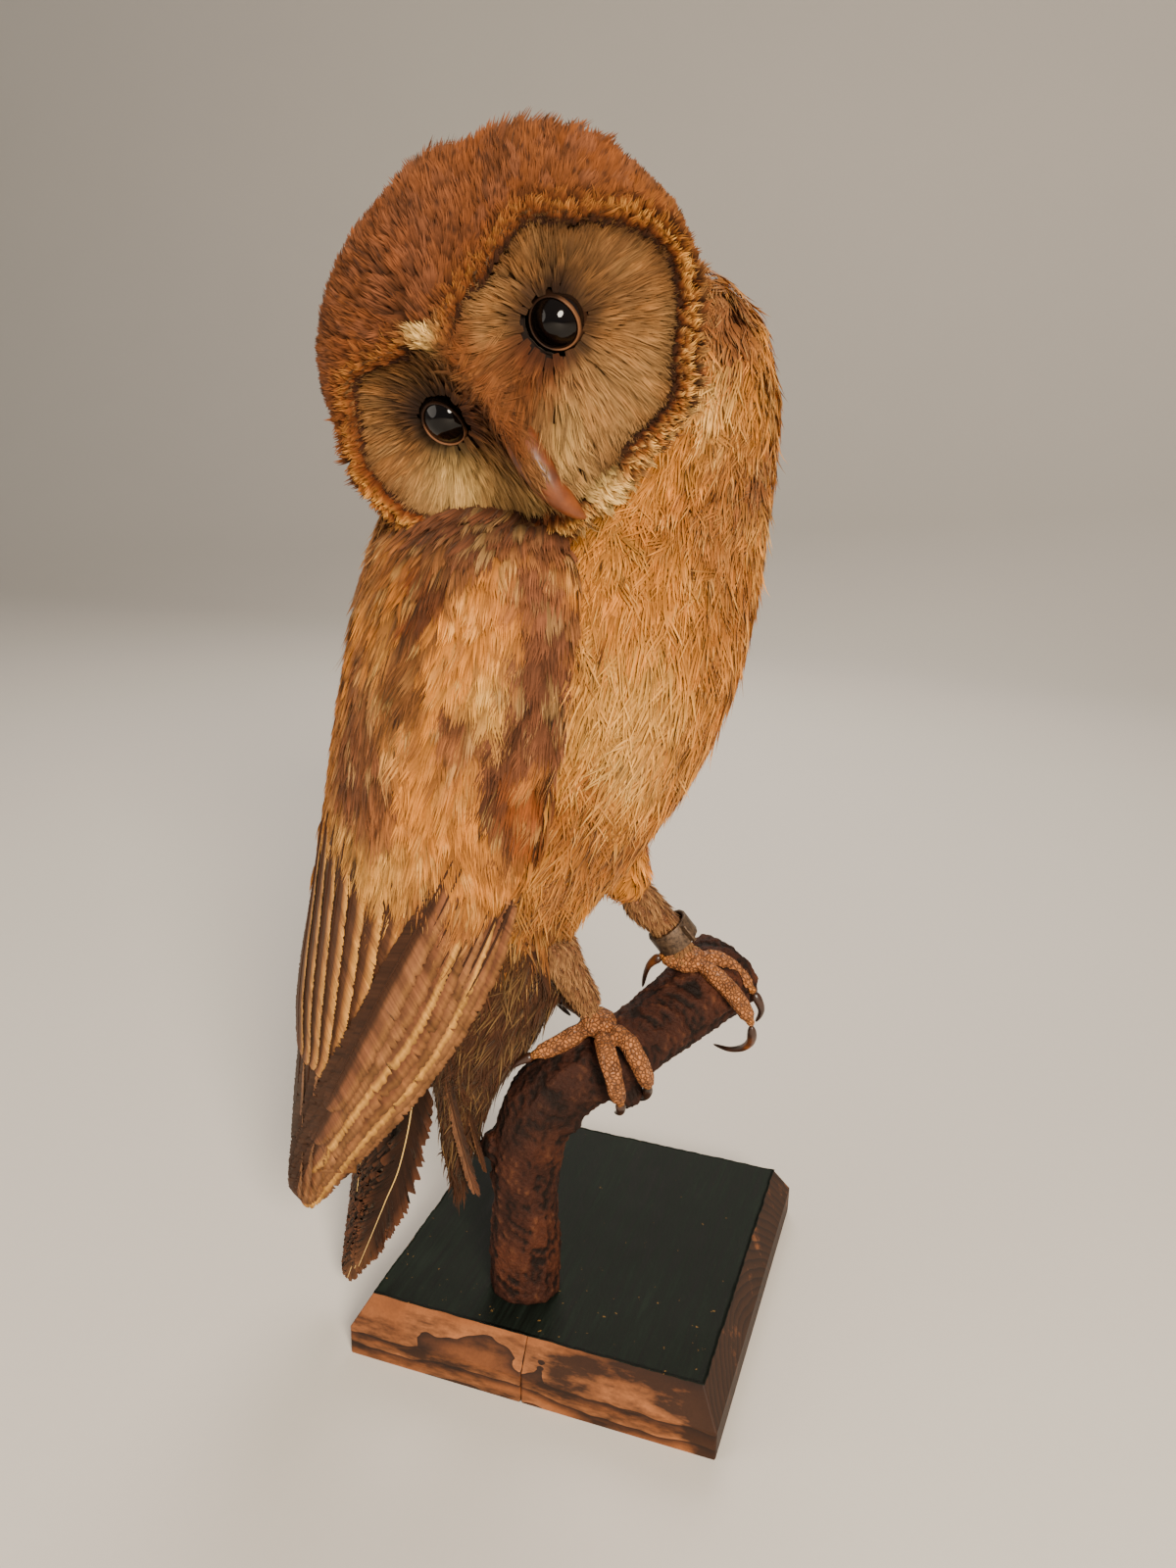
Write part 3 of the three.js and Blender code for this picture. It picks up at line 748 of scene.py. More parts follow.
def bodyTints(points):
    places = toBird(points)
    x, y, z = places.T
    colour = np.tile(tones["gold"], (len(points), 1))
    colour = blendInto(colour, tones["paleGold"], 0.4 * smooth(-0.2, 0.9, ripple(points, 0.016, 37)))
    colour = blendInto(colour, tones["orange"], 0.45 * smooth(0.0, 0.9, ripple(points, 0.022, 43)))
    warp = ripple(points, 0.02, 45)
    for *centre, reach, tone, strength in bodyPatches:
        away = np.linalg.norm(places - centre, axis=1) / reach + 0.22 * warp
        colour = blendInto(colour, tones[tone], strength * smooth(1.2, 0.5, away))
    colour = blendInto(colour, tones["dusk"], 0.6 * smooth(8, 34, y) * smooth(-0.7, 0.5, ripple(points, 0.014, 46)))
    back = smooth(-5, -35, x)
    colour = blendInto(colour, tones["dusk"], 0.6 * back * smooth(-0.5, 0.6, ripple(points, 0.012, 47)))
    flank = smooth(182, 158, z) * smooth(20, 0, x)
    colour = blendInto(colour, tones["vent"], 0.75 * flank)
    tips = blendInto(colour, tones["cream"], 0.35 * smooth(0.1, 1, ripple(points, 0.006, 53)))
    tips = blendInto(tips, tones["dusk"], 0.3 * smooth(0.1, 1, -ripple(points, 0.0075, 57)))
    # roots a darker copy of the colour: painted shade deep in the coat
    return colour * 0.78, tips


def ventTints(points):
    x, y, z = toBird(points).T
    colour = np.tile(tones["vent"], (len(points), 1))
    colour = blendInto(colour, tones["brown"], 0.6 * smooth(-0.2, 0.9, ripple(points, 0.01, 59)))
    colour = blendInto(colour, tones["buff"], 0.5 * smooth(150, 170, z))
    # roots a darker copy of the colour: painted shade deep in the coat
    return colour * 0.8, blendInto(colour, tones["deepDusk"], 0.35)


def legColours(points):
    colour = np.tile(tones["toe"], (len(points), 1))
    colour = blendInto(colour, tones["toeDark"], 0.55 * smooth(0.0, 0.9, ripple(points, 0.006, 61)))
    gap = np.min([np.linalg.norm(points - spot, axis=1) for spot in clawSpots.values()], axis=0) / mm
    colour = blendInto(colour, tones["gold"], 0.45 * smooth(5.0, 1.5, gap))
    return blendInto(colour, tones["legDown"], 0.8 * onShank)


def plumageColours(points, parts):
    roots = np.zeros((len(points), 3))
    tips = np.zeros((len(points), 3))
    for i, name in enumerate(bodyNodes):
        chosen = parts == i
        if not chosen.any():
            continue
        some = points[chosen]
        if name == "head":
            made = headTints(some)
        elif name.startswith("wing"):
            made = wingTints(some, -1 if name.endswith("right") else 1)
        elif name == "vent":
            made = ventTints(some)
        else:
            made = bodyTints(some)
        roots[chosen], tips[chosen] = made
    return roots, tips


skinMaterial = plumageMaterial("under_skin", contrast=0.5)
toeMaterial = scaleMaterial()
skin = makeSkin(skinMaterial, toeMaterial)


# ---------- feathers ----------

patchSize = 0.003  # each feather's share of the bake map, at its root's place
pieceLimit = 190000  # triangles in one coat piece

# spacing, length, half width, strips and steps of each kind of feather; sizes in mm
featherKinds = {
    "crown": {"spacing": 2.0, "length": 8.0, "half": 1.75, "strips": 8, "steps": 4, "rise": 0.35,
              "fray": 0.25, "jitter": 9, "dome": 0.3, "loose": 0.02},
    "breast": {"spacing": 2.7, "length": 18, "half": 3.2, "strips": 12, "steps": 4, "rise": 0.6,
               "fray": 0.5, "jitter": 14, "dome": 0.25, "loose": 0.05, "vary": 0.16},
    "covert": {"spacing": 2.7, "length": 12.5, "half": 2.6, "strips": 11, "steps": 4, "rise": 0.45,
               "fray": 0.35, "jitter": 9, "dome": 0.25, "loose": 0.035},
    "shank": {"spacing": 1.25, "length": 5.5, "half": 0.75, "strips": 5, "steps": 3, "rise": 0.25,
              "fray": 0.7, "jitter": 16, "dome": 0.2, "loose": 0.25},
    "wisp": {"spacing": 3.2, "length": 16, "half": 3.0, "strips": 5, "steps": 5, "rise": 1.3,
             "fray": 0.7, "jitter": 24, "dome": 0.2, "loose": 0.2, "barb": 0.6},
    "down": {"spacing": 2.3, "length": 15, "half": 2.0, "strips": 9, "steps": 4, "rise": 1.0,
             "fray": 0.55, "jitter": 20, "dome": 0.2, "loose": 0.15},
}


def unwrap(piece):
    # an unwrap of the skin's own shape, to place each feather's patch
    bpy.context.view_layer.objects.active = piece
    piece.select_set(True)
    bpy.ops.object.mode_set(mode="EDIT")
    bpy.ops.mesh.select_all(action="SELECT")
    bpy.ops.uv.smart_project(angle_limit=math.radians(70), island_margin=0.002)
    bpy.ops.object.mode_set(mode="OBJECT")
    piece.select_set(False)
    layer = piece.data.uv_layers.active
    spots = np.empty(len(piece.data.loops) * 2, np.float32)
    layer.data.foreach_get("uv", spots)
    return spots.reshape(-1, 2)


def surfaceOf(piece, parts):
    # what roots need to know of a skin: its points, its unwrap, and every face as triangles by loop number
    verts, normals = meshArrays(piece.data)
    spots = unwrap(piece)
    corners = np.empty(len(piece.data.loops), np.int32)
    piece.data.loops.foreach_get("vertex_index", corners)
    totals = np.empty(len(piece.data.polygons), np.int32)
    piece.data.polygons.foreach_get("loop_total", totals)
    starts = np.concatenate([[0], np.cumsum(totals)[:-1]])
    quads, threes = starts[totals == 4], starts[totals == 3]
    triangles = np.concatenate([
        np.stack([quads, quads + 1, quads + 2], 1), np.stack([quads, quads + 2, quads + 3], 1),
        np.stack([threes, threes + 1, threes + 2], 1)])
    vertSpots = np.zeros((len(verts), 2))
    vertSpots[corners] = spots
    return {"verts": verts, "normals": normals, "spots": spots, "corners": corners, "triangles": triangles,
            "part": parts, "vertSpots": vertSpots, "tree": treeOf(piece.data)}


bodySurface = surfaceOf(guide, guidePart)
legSurface = surfaceOf(legs, (onShank > 0.3).astype(int))
print("skin unwrapped")


def spreadRoots(surface, spacing, seed, wanted):
    # roots spread evenly over the chosen parts of a skin, at least about one spacing apart
    draw = np.random.default_rng(seed)
    triangles, loopVert = surface["triangles"], surface["corners"]
    corners = surface["verts"][loopVert[triangles]]
    areas = np.linalg.norm(np.cross(corners[:, 1] - corners[:, 0], corners[:, 2] - corners[:, 0]), axis=1) / 2
    part = surface["part"][loopVert[triangles[:, 0]]]
    areas = areas * np.isin(part, [partIndex.get(name, name) for name in wanted])
    total = areas.sum()
    count = int(3.2 * total / (spacing * mm) ** 2)
    chosen = draw.choice(len(areas), size=count, p=areas / total)
    a, b = draw.random(count), draw.random(count)
    over = a + b > 1
    a[over], b[over] = 1 - a[over], 1 - b[over]
    shares = np.stack([1 - a - b, a, b], 1)[:, :, None]
    points = (corners[chosen] * shares).sum(1)
    loops = triangles[chosen]
    spots = (surface["spots"][loops] * shares).sum(1)
    normals = unit((surface["normals"][loopVert[loops]] * shares).sum(1))
    kept = thinned(points, spacing * mm)
    return {"point": points[kept], "normal": normals[kept], "spot": spots[kept],
            "part": part[chosen][kept], "tree": surface["tree"]}


def thinned(points, spacing):
    cell = spacing
    keys = np.floor(points / cell).astype(int)
    taken = {}
    kept = []
    near = [(x, y, z) for x in (-1, 0, 1) for y in (-1, 0, 1) for z in (-1, 0, 1)]
    for i, (key, point) in enumerate(zip(map(tuple, keys), points)):
        clear = True
        for dx, dy, dz in near:
            other = taken.get((key[0] + dx, key[1] + dy, key[2] + dz))
            if other is not None:
                gap = points[other] - point
                if gap @ gap < 0.62 * spacing * spacing:
                    clear = False
                    break
        if clear:
            taken[key] = i
            kept.append(i)
    return np.array(kept)


def only(roots, chosen):
    return {key: value if key == "tree" else value[chosen] for key, value in roots.items()}


def layOver(tree, points, normals, ways, lengths, steps, heights):
    # midlines that start at the roots and follow the skin; heights is above the surface, per station
    count = len(points)
    spots = np.empty((count, steps + 1, 3))
    ups = np.empty((count, steps + 1, 3))
    spot, up, way = points.copy(), normals.copy(), unit(flatOn(ways, normals))
    spots[:, 0], ups[:, 0] = spot, up
    stride = lengths / steps
    for k in range(1, steps + 1):
        guess = spot + way * stride[:, None]
        snapped, _, _, _ = nearestOn(tree, guess)
        pull = snapped - guess
        size = np.linalg.norm(pull, axis=1, keepdims=True)
        pull *= np.minimum(1, 0.45 * stride[:, None] / np.maximum(size, 1e-9))
        fresh = guess + pull
        way = unit(fresh - spot)
        up = unit(flatOn(up, way))
        spot = fresh
        spots[:, k], ups[:, k] = spot, up
    return spots + ups * heights[:, :, None], ups


def buildVanes(name, spots, ups, halves, roots, tips, bakeSpots, kind, seed, material, slotName, flecks=None):
    # each feather is a fan of thin strips that part near the tip, like frayed barbs
    draw = np.random.default_rng(seed)
    count, stations = spots.shape[:2]
    steps = stations - 1
    strips = kind["strips"]
    alongs = unit(np.gradient(spots, axis=1))
    sides = unit(np.cross(alongs, ups))
    fan = np.linspace(-1, 1, strips)[None] + draw.normal(0, 0.35 / strips, (count, strips))
    reach = 1 - 0.3 * np.abs(fan) ** 2 - kind["fray"] * draw.random((count, strips)) ** 2
    splay = draw.normal(0, 0.10, (count, strips))
    tilt = draw.normal(0, 0.45, (count, strips))
    raised = draw.normal(0, kind["loose"], (count, strips))
    tone = (1 + draw.normal(0, kind.get("vary", 0.09), (count, 1))) * (1 + draw.normal(0, 0.13, (count, strips)))
    t = np.linspace(0, 1, stations)
    tt = reach[:, :, None] * t  # share of the midline reached at each station
    place = np.clip(tt * steps, 0, steps - 1e-6)
    low = place.astype(int)
    part = (place - low)[..., None]
    row = np.arange(count)[:, None, None]

    def along(values):
        return values[row, low] * (1 - part) + values[row, low + 1] * part

    middle, side, up = along(spots), unit(along(sides)), unit(along(ups))
    spread = 0.30 + 0.70 * np.sin(np.pi * np.clip(0.12 + 0.60 * tt, 0, 1))
    x = halves[:, None, None] * (fan[:, :, None] * spread + splay[:, :, None] * tt ** 2)
    z = halves[:, None, None] * (-kind["dome"] * fan[:, :, None] ** 2 + 2.2 * raised[:, :, None] * tt ** 3)
    width = halves[:, None, None] * (kind.get("barb", 1.7) / strips) * (1 - 0.8 * t ** 3) * (0.55 + 0.45 * np.sin(np.pi * np.clip(t + 0.15, 0, 1)))
    centre = middle + side * x[..., None] + up * z[..., None]
    lean = side + up * tilt[:, :, None, None]
    left = centre[:, :, :-1] - (lean * width[..., None])[:, :, :-1]
    right = centre[:, :, :-1] + (lean * width[..., None])[:, :, :-1]
    verts = np.concatenate([np.stack([left, right], 3).reshape(count, strips, 2 * steps, 3),
                            centre[:, :, -1:]], 2)
    share = smooth(0.25, 0.95, tt)[..., None]
    tint = (roots[:, None, None] * (1 - share) + tips[:, None, None] * share) * tone[:, :, None, None]
    # painted shade: each strip darker towards its root, deep in the coat
    tint = tint * (0.62 + 0.38 * smooth(0.0, 0.6, tt))[..., None]
    if flecks is not None:
        dot = flecks[:, None, None] * smooth(0.55, 0.2, np.abs(fan))[:, :, None] * smooth(0.45, 0.75, tt)
        tint = blendInto(tint, tones["fleck"], dot)
    tint = np.concatenate([np.repeat(tint[:, :, :-1], 2, axis=2), tint[:, :, -1:]], 2)
    uv = np.stack([0.5 + 0.45 * np.clip(fan[:, :, None] * spread, -1, 1), tt], -1)
    uv = np.concatenate([np.repeat(uv[:, :, :-1], 2, axis=2), uv[:, :, -1:]], 2)
    uv = bakeSpots[:, None, None] + patchSize * (uv - 0.5)
    perStrip = 2 * steps + 1
    base = (np.arange(count * strips) * perStrip)[:, None]
    quads = np.array([[2 * k, 2 * k + 1, 2 * k + 3, 2 * k + 2] for k in range(steps - 1)]).ravel()
    pattern = np.concatenate([quads, [2 * steps - 2, 2 * steps - 1, 2 * steps]])
    triangles = 2 * (steps - 1) + 1
    perPiece = max(1, int(pieceLimit / (strips * triangles)))
    made = []
    pieces = range(0, count, perPiece)
    for number, first in enumerate(pieces):
        some = slice(first, min(count, first + perPiece))
        amount = (some.stop - some.start) * strips
        title = name if len(pieces) == 1 else f"{name}_{number + 1}"
        loops = (base[:amount] + pattern).ravel()
        totals = np.tile([4] * (steps - 1) + [3], amount)
        piece = meshFrom(title, verts[some].reshape(-1, 3), loops, totals,
                         tints=tint[some].reshape(-1, 3), bakeSpots=uv[some].reshape(-1, 2))
        made.append(finishPiece(piece, material, slotName))
    print(name, "feathers:", count, "triangles:", count * strips * triangles)
    return made


def coatOf(name, roots, kindName, seed, material, slotName, ways, depth, stretch=None, fleckShare=0.0,
           colours=None, lift=0.0):
    kind = featherKinds[kindName]
    draw = np.random.default_rng(seed + 500)
    count = len(roots["point"])
    lengths = kind["length"] * mm * draw.uniform(0.8, 1.2, count)
    halves = kind["half"] * mm * draw.uniform(0.85, 1.15, count)
    if stretch is not None:
        lengths, halves = lengths * stretch, halves * np.sqrt(stretch)
    spin = np.radians(draw.normal(0, kind["jitter"], count))
    spin += 0.18 * ripple(roots["point"], 0.03, seed)
    flat = unit(flatOn(ways, roots["normal"]))
    ways = flat * np.cos(spin)[:, None] + np.cross(roots["normal"], flat) * np.sin(spin)[:, None]
    t = np.linspace(0, 1, kind["steps"] + 1)
    rise = kind["rise"] * draw.uniform(0.4, 1.4, count) + lift
    heights = (-depth[:, None] * (1 - t ** 0.8) + rise[:, None] * t ** 1.5) * mm
    spots, ups = layOver(roots["tree"], roots["point"], roots["normal"], ways, lengths, kind["steps"], heights)
    rootTints, tipTints = colours if colours is not None else plumageColours(roots["point"], roots["part"])
    flecks = np.where(draw.random(count) < fleckShare, draw.uniform(0.6, 1.0, count), 0.0)
    return buildVanes(name, spots, ups, halves, rootTints, tipTints, roots["spot"], kind, seed, material, slotName,
                      flecks)


def partWays(roots):
    # which way the feathers lie: back from the face, down the body, along the wing
    points, parts = roots["point"], roots["part"]
    down = np.tile(np.array([-0.30, 0.0, -1.0]) @ birdTurn.T, (len(points), 1))
    ways = down.copy()
    for side, name in ((1, "wing_left"), (-1, "wing_right")):
        chosen = parts == partIndex[name]
        if chosen.any():
            u, reach, outer = wingPlace(side, points[chosen])
            ahead = fromBird(wingSpot(side, np.clip(u + 0.02, 0, 1), reach, outer))
            behind = fromBird(wingSpot(side, np.clip(u - 0.02, 0, 1), reach, outer))
            ways[chosen] = unit(ahead - behind)
    chosen = parts == partIndex["head"]
    if chosen.any():
        f, l, u = toHead(points[chosen]).T
        out = np.stack([-np.ones_like(f), 0.5 * l / 60, 0.5 * (u + 6) / 50], 1) @ headTurn.T
        drop = smooth(-30, -65, f)[:, None]
        ways[chosen] = unit(out) * (1 - drop) + down[chosen] * drop
    return ways


plumage = {
    "head": plumageMaterial("head_plumage", contrast=0.4),
    "breast": plumageMaterial("breast_plumage", contrast=0.3, sheen=0.1),
    "wing": plumageMaterial("wing_plumage", contrast=0.45),
    "down": plumageMaterial("down", roughness=0.9, sheen=0.12, contrast=0.25),
    "flight": plumageMaterial("flight_feathers", roughness=0.65, sheen=0.05, contrast=0.3),
}


# places on the head where the feathers stand up: forward, left, up, reach and lift in mm, extra length
standingTufts = [
    (-18, 14, 47, 8, 8.0, 1.2), (-21, 32, 39, 7, 9.0, 1.3), (-24, 42, 32, 7, 6.0, 0.9), (-25, 48, 25, 7, 4.5, 0.7),
    (-24, -50, 2, 7, 4.5, 1.0), (-22, -49, -13, 9, 6.5, 1.5), (-22, -42, -26, 9, 6.5, 1.6),
]


def dressHead():
    roots = spreadRoots(bodySurface, featherKinds["crown"]["spacing"], 101, ["head"])
    f, l, u = toHead(roots["point"]).T
    onFace = (discEdge(l, u) < 1.02) & (f > -24)
    roots = only(roots, ~onFace)
    places = toHead(roots["point"])
    f, l, u = places.T
    depth = np.full(len(f), 2.0)
    stretch = 0.65 + 0.6 * smooth(-15, -70, f)
    lift = np.zeros(len(f))
    for *centre, reach, height, longer in standingTufts:
        near = np.exp(-(np.linalg.norm(places - centre, axis=1) / reach) ** 2)
        lift += height * near
        stretch += longer * near
    coatOf("crown_feathers", roots, "crown", 7, plumage["head"], "head_plumage", partWays(roots), depth, stretch,
           0.3, lift=lift)


def dressBody():
    roots = spreadRoots(bodySurface, featherKinds["breast"]["spacing"], 103, ["neck", "trunk"])
    z = toBird(roots["point"])[:, 2]
    stretch = 0.8 + 0.35 * smooth(300, 230, z)
    coatOf("breast_feathers", roots, "breast", 9, plumage["breast"], "breast_plumage", partWays(roots),
           np.full(len(z), 3.0), stretch, 0.09)
    roots = spreadRoots(bodySurface, featherKinds["down"]["spacing"], 105, ["thigh_left", "thigh_right", "vent"])
    stretch = 0.6 + 0.8 * (roots["part"] == partIndex["vent"])
    coatOf("down_feathers", roots, "down", 13, plumage["down"], "down", partWays(roots),
           np.full(len(stretch), 1.6), stretch)
    # fine loose barbs over the body, longer low down
    roots = spreadRoots(bodySurface, featherKinds["wisp"]["spacing"], 109, ["neck", "trunk", "vent"])
    stretch = 0.55 + 0.5 * smooth(300, 220, toBird(roots["point"])[:, 2])
    ground, tips = plumageColours(roots["point"], roots["part"])
    coatOf("loose_barbs", roots, "wisp", 15, plumage["down"], "down", partWays(roots), np.full(len(stretch), 0.5),
           stretch, colours=(ground, blendInto(tips, tones["cream"], 0.15)))


def dressLegs():
    roots = spreadRoots(legSurface, featherKinds["shank"]["spacing"], 113, [1])
    z = toBird(roots["point"])[:, 2]
    ways = np.tile(np.array([0.25, 0.0, -1.0]) @ birdTurn.T, (len(z), 1))
    stretch = 0.5 + 0.6 * smooth(124, 150, z)
    ground = np.tile(tones["legDown"], (len(z), 1))
    ground = blendInto(ground, tones["dusk"], 0.6 * smooth(-0.3, 0.8, ripple(roots["point"], 0.008, 115)))
    # roots a darker copy of the down colour: painted shade deep in the coat
    coatOf("leg_down", roots, "shank", 19, plumage["down"], "down", ways, np.full(len(z), 1.5), stretch,
           colours=(ground * 0.7, blendInto(ground, tones["cream"], 0.2)))


def dressWings():
    for side, name in ((-1, "wing_right"), (1, "wing_left")):
        roots = spreadRoots(bodySurface, featherKinds["covert"]["spacing"], 107 + side, [name])
        u, reach, outer = wingPlace(side, roots["point"])
        coverts = (u < 0.50 + 0.17 * smooth(0.0, 0.6, reach)) | (outer < 0) & (u < 0.52)
        roots, u = only(roots, coverts), u[coverts]
        stretch = 0.7 + 0.5 * smooth(0.0, 0.4, u)
        coatOf(name.replace("wing", "coverts"), roots, "covert", 17 + side, plumage["wing"], "wing_plumage",
               partWays(roots), np.full(len(u), 1.4), stretch, 0.05)


dressLegs()
dressHead()
dressBody()
dressWings()
print("small feathers laid")


# ---------- flight feathers ----------

# spots along each feather: u, reach, lift in mm from the wing's outer face; then half width in mm
flights = {
    "secondaries": 9, "primaries": 8, "barbs": 200, "across": 6,
    # feathers under the ends of the secondaries: reach at the root, then u and reach at the tip
    "under": [(-0.85, 0.93, -0.80), (-0.55, 0.94, -0.50), (-0.2, 0.95, -0.2)],
}


def bigVane(line, ups, halves, tintOf, rng, barbs, across, tipRound=0.16, ragged=0.13, sweep=0.75, trail=1.0, turn=1):
    # one long feather: barbs slant from the quill to both edges; returns verts, quads, tints
    count = barbs + 1
    t = np.linspace(0, 1, count)
    line = throughPoints(line, t)
    ups = unit(throughPoints(ups, t))
    along = unit(np.gradient(line, axis=0))
    side = unit(np.cross(along, ups))
    ups = unit(np.cross(side, along))
    outline = np.sqrt(np.clip(1 - ((t - (1 - tipRound)) / tipRound).clip(0) ** 2, 0, 1)) * smooth(-0.12, 0.22, t)
    verts, tints, faces = [], [], []
    for sign in (-1, 1):
        fray = 1 - ragged * rng.random(count) ** 2 - 0.22 * (rng.random(count) < 0.04) * smooth(0.1, 0.5, t)
        streak = 1 + rng.normal(0, 0.15, count) + 0.12 * np.sin(t * rng.uniform(40, 90) + rng.uniform(0, 6))
        first = sum(len(v) for v in verts)
        for k in range(across):
            a = k / (across - 1)
            wide = halves * outline * (trail if sign * turn < 0 else 1.0)
            reach = wide * (1 - a * (1 - fray))
            slant = sweep * wide * a
            edge = a ** 2
            rough = rng.normal(0, 0.06, count) * a
            spot = line + side * (sign * reach * a)[:, None] * mm + along * (slant * mm)[:, None]
            spot = spot + ups * ((-0.03 * edge * halves + rough) * mm)[:, None]
            verts.append(spot)
            tints.append(tintOf(t, sign * a) * streak[:, None])
        grid = first + np.arange(across * count).reshape(across, count)
        quads = np.stack([grid[:-1, :-1], grid[1:, :-1], grid[1:, 1:], grid[:-1, 1:]], -1).reshape(-1, 4)
        faces.append(quads if sign > 0 else quads[:, ::-1])
    # the quill, a thin tapering ridge
    ring = 5
    first = sum(len(v) for v in verts)
    for k in range(ring):
        angle = 2 * math.pi * k / ring
        thick = (0.85 - 0.65 * t) * 0.5
        verts.append(line + (side * math.cos(angle) + ups * (0.5 + 0.8 * math.sin(angle))) * (thick * mm)[:, None])
        tints.append(tintOf(t, 0.0) * 0 + tintOf(t, None))
    grid = first + np.arange(ring * count).reshape(ring, count)
    rolled = np.roll(grid, -1, axis=0)
    faces.append(np.stack([grid[:, :-1], rolled[:, :-1], rolled[:, 1:], grid[:, 1:]], -1).reshape(-1, 4)[:, ::-1])
    return np.concatenate(verts), np.concatenate(faces), np.concatenate(tints)


def packFeathers(name, vanes, material, slotName, *stoodFor):
    # joins long feathers; each gets its own strip of the bake map
    verts, faces, tints, spots, offset = [], [], [], [], 0
    width = 1 / len(vanes)
    for number, (v, f, c, uv) in enumerate(vanes):
        verts.append(v)
        faces.append(f + offset)
        tints.append(c)
        spots.append(np.stack([(number + 0.05 + 0.9 * uv[:, 0]) * width, 0.02 + 0.96 * uv[:, 1]], 1))
        offset += len(v)
    faces = np.concatenate(faces)
    piece = meshFrom(name, np.concatenate(verts), faces.ravel(), [4] * len(faces),
                     tints=np.concatenate(tints), bakeSpots=np.concatenate(spots))
    print(name, "vanes:", len(vanes), "triangles:", 2 * len(faces))
    return finishPiece(piece, material, slotName, *stoodFor)


def vaneMap(across, barbs, ring=5):
    # bake-map place of each vertex of bigVane, in the order it makes them
    count = barbs + 1
    t = np.linspace(0, 1, count)
    columns = [0.42 - 0.40 * k / (across - 1) for k in range(across)]
    columns += [0.46 + 0.40 * k / (across - 1) for k in range(across)]
    columns += [0.90 + 0.08 * k / ring for k in range(ring)]
    return np.concatenate([np.stack([np.full(count, c), t], 1) for c in columns])


def wingFeather(side, spots, halves, tintOf, rng, trail=1.0):
    spots = np.asarray(spots, float)
    fine = throughPoints(spots, np.linspace(0, 1, 9))
    u, reach, lift = np.clip(fine[:, 0], 0, 1.0), fine[:, 1], fine[:, 2]
    inner = np.clip(reach, -0.999, 0.999)
    line = fromBird(wingSpot(side, u, inner, 1.0, lift))
    step = 0.02
    wide = fromBird(wingSpot(side, u, np.clip(inner + step, -1, 1), 1.0, lift)) - fromBird(
        wingSpot(side, u, np.clip(inner - step, -1, 1), 1.0, lift))
    ahead = fromBird(wingSpot(side, np.clip(u + step, 0, 1), inner, 1.0, lift)) - fromBird(
        wingSpot(side, np.clip(u - step, 0, 1), inner, 1.0, lift))
    ups = unit(np.cross(wide, ahead)) * (-side)
    middle = fromBird(wingSpot(side, u, inner, 0.0, 0.0))
    ups = np.where(((line - middle) * ups).sum(1, keepdims=True) < 0, -ups, ups)
    half = throughPoints(np.asarray(halves, float)[:, None], np.linspace(0, 1, flights["barbs"] + 1))[:, 0]
    flip = side  # the leading vane is on the front side of either wing
    verts, faces, tints = bigVane(line, ups, half, lambda t, a: tintOf(t, None if a is None else a * flip),
                                     rng, flights["barbs"], flights["across"], trail=trail, turn=flip)
    return verts, faces, tints, vaneMap(flights["across"], flights["barbs"])


def secondaryTint(number, rng):
    shade = rng.uniform(0.9, 1.1)
    def tint(t, a):
        if a is None:
            return np.tile(tones["brown"], (len(t), 1))
        colour = np.tile(tones["buff"] * shade, (len(t), 1))
        colour = blendInto(colour, tones["paleGold"], np.full(len(t), 0.8 * smooth(0.6, 0.95, a)))
        bars = smooth(0.55, 1.0, np.sin(2 * math.pi * (t * 5.5 + 0.13 * number)))
        colour = blendInto(colour, tones["dusk"], 0.45 * bars)
        # painted shade: all but the exposed outer edge is darkened, the quill side and trailing vane most, where the
        # next secondary lies over them
        colour = blendInto(colour, tones["deepDusk"], np.full(len(t), 0.95 * smooth(0.66, 0.48, a)))
        colour = blendInto(colour, tones["brown"], np.full(len(t), 0.6 * smooth(0.4, 0.1, a)))
        return blendInto(colour, tones["dusk"], 0.35 * smooth(0.8, 1.0, t))
    return tint


def primaryTint(number, rng):
    shade = rng.uniform(0.9, 1.05)
    def tint(t, a):
        if a is None:
            return np.tile(tones["brown"] * 0.9, (len(t), 1))
        colour = np.tile(tones["legDown"] * shade, (len(t), 1))
        colour = blendInto(colour, tones["dusk"] * 0.8, 0.5 + 0.3 * np.sin(t * 9 + number))
        bars = smooth(0.2, 0.9, np.sin(2 * math.pi * (t * 6.5 + 0.2 * number)))
        colour = blendInto(colour, tones["deepDusk"], 0.6 * bars)
        pale = 0.75 if number in (2, 5) else 0.12
        colour = blendInto(colour, tones["paleGold"], np.full(len(t), pale * smooth(0.6, 0.8, a)))
        # painted shade: the covered inner part and the trailing vane are darkened to read as the shadowed gap under
        # the next feather
        colour = blendInto(colour, tones["deepDusk"] * 0.45, np.full(len(t), 0.95 * smooth(0.45, 0.15, a)))
        colour = blendInto(colour, tones["deepDusk"], np.full(len(t), 0.6 * smooth(0.9, 1.0, a)))
        return blendInto(colour, tones["deepDusk"], smooth(0.85, 1.0, t) * 0.5)
    return tint


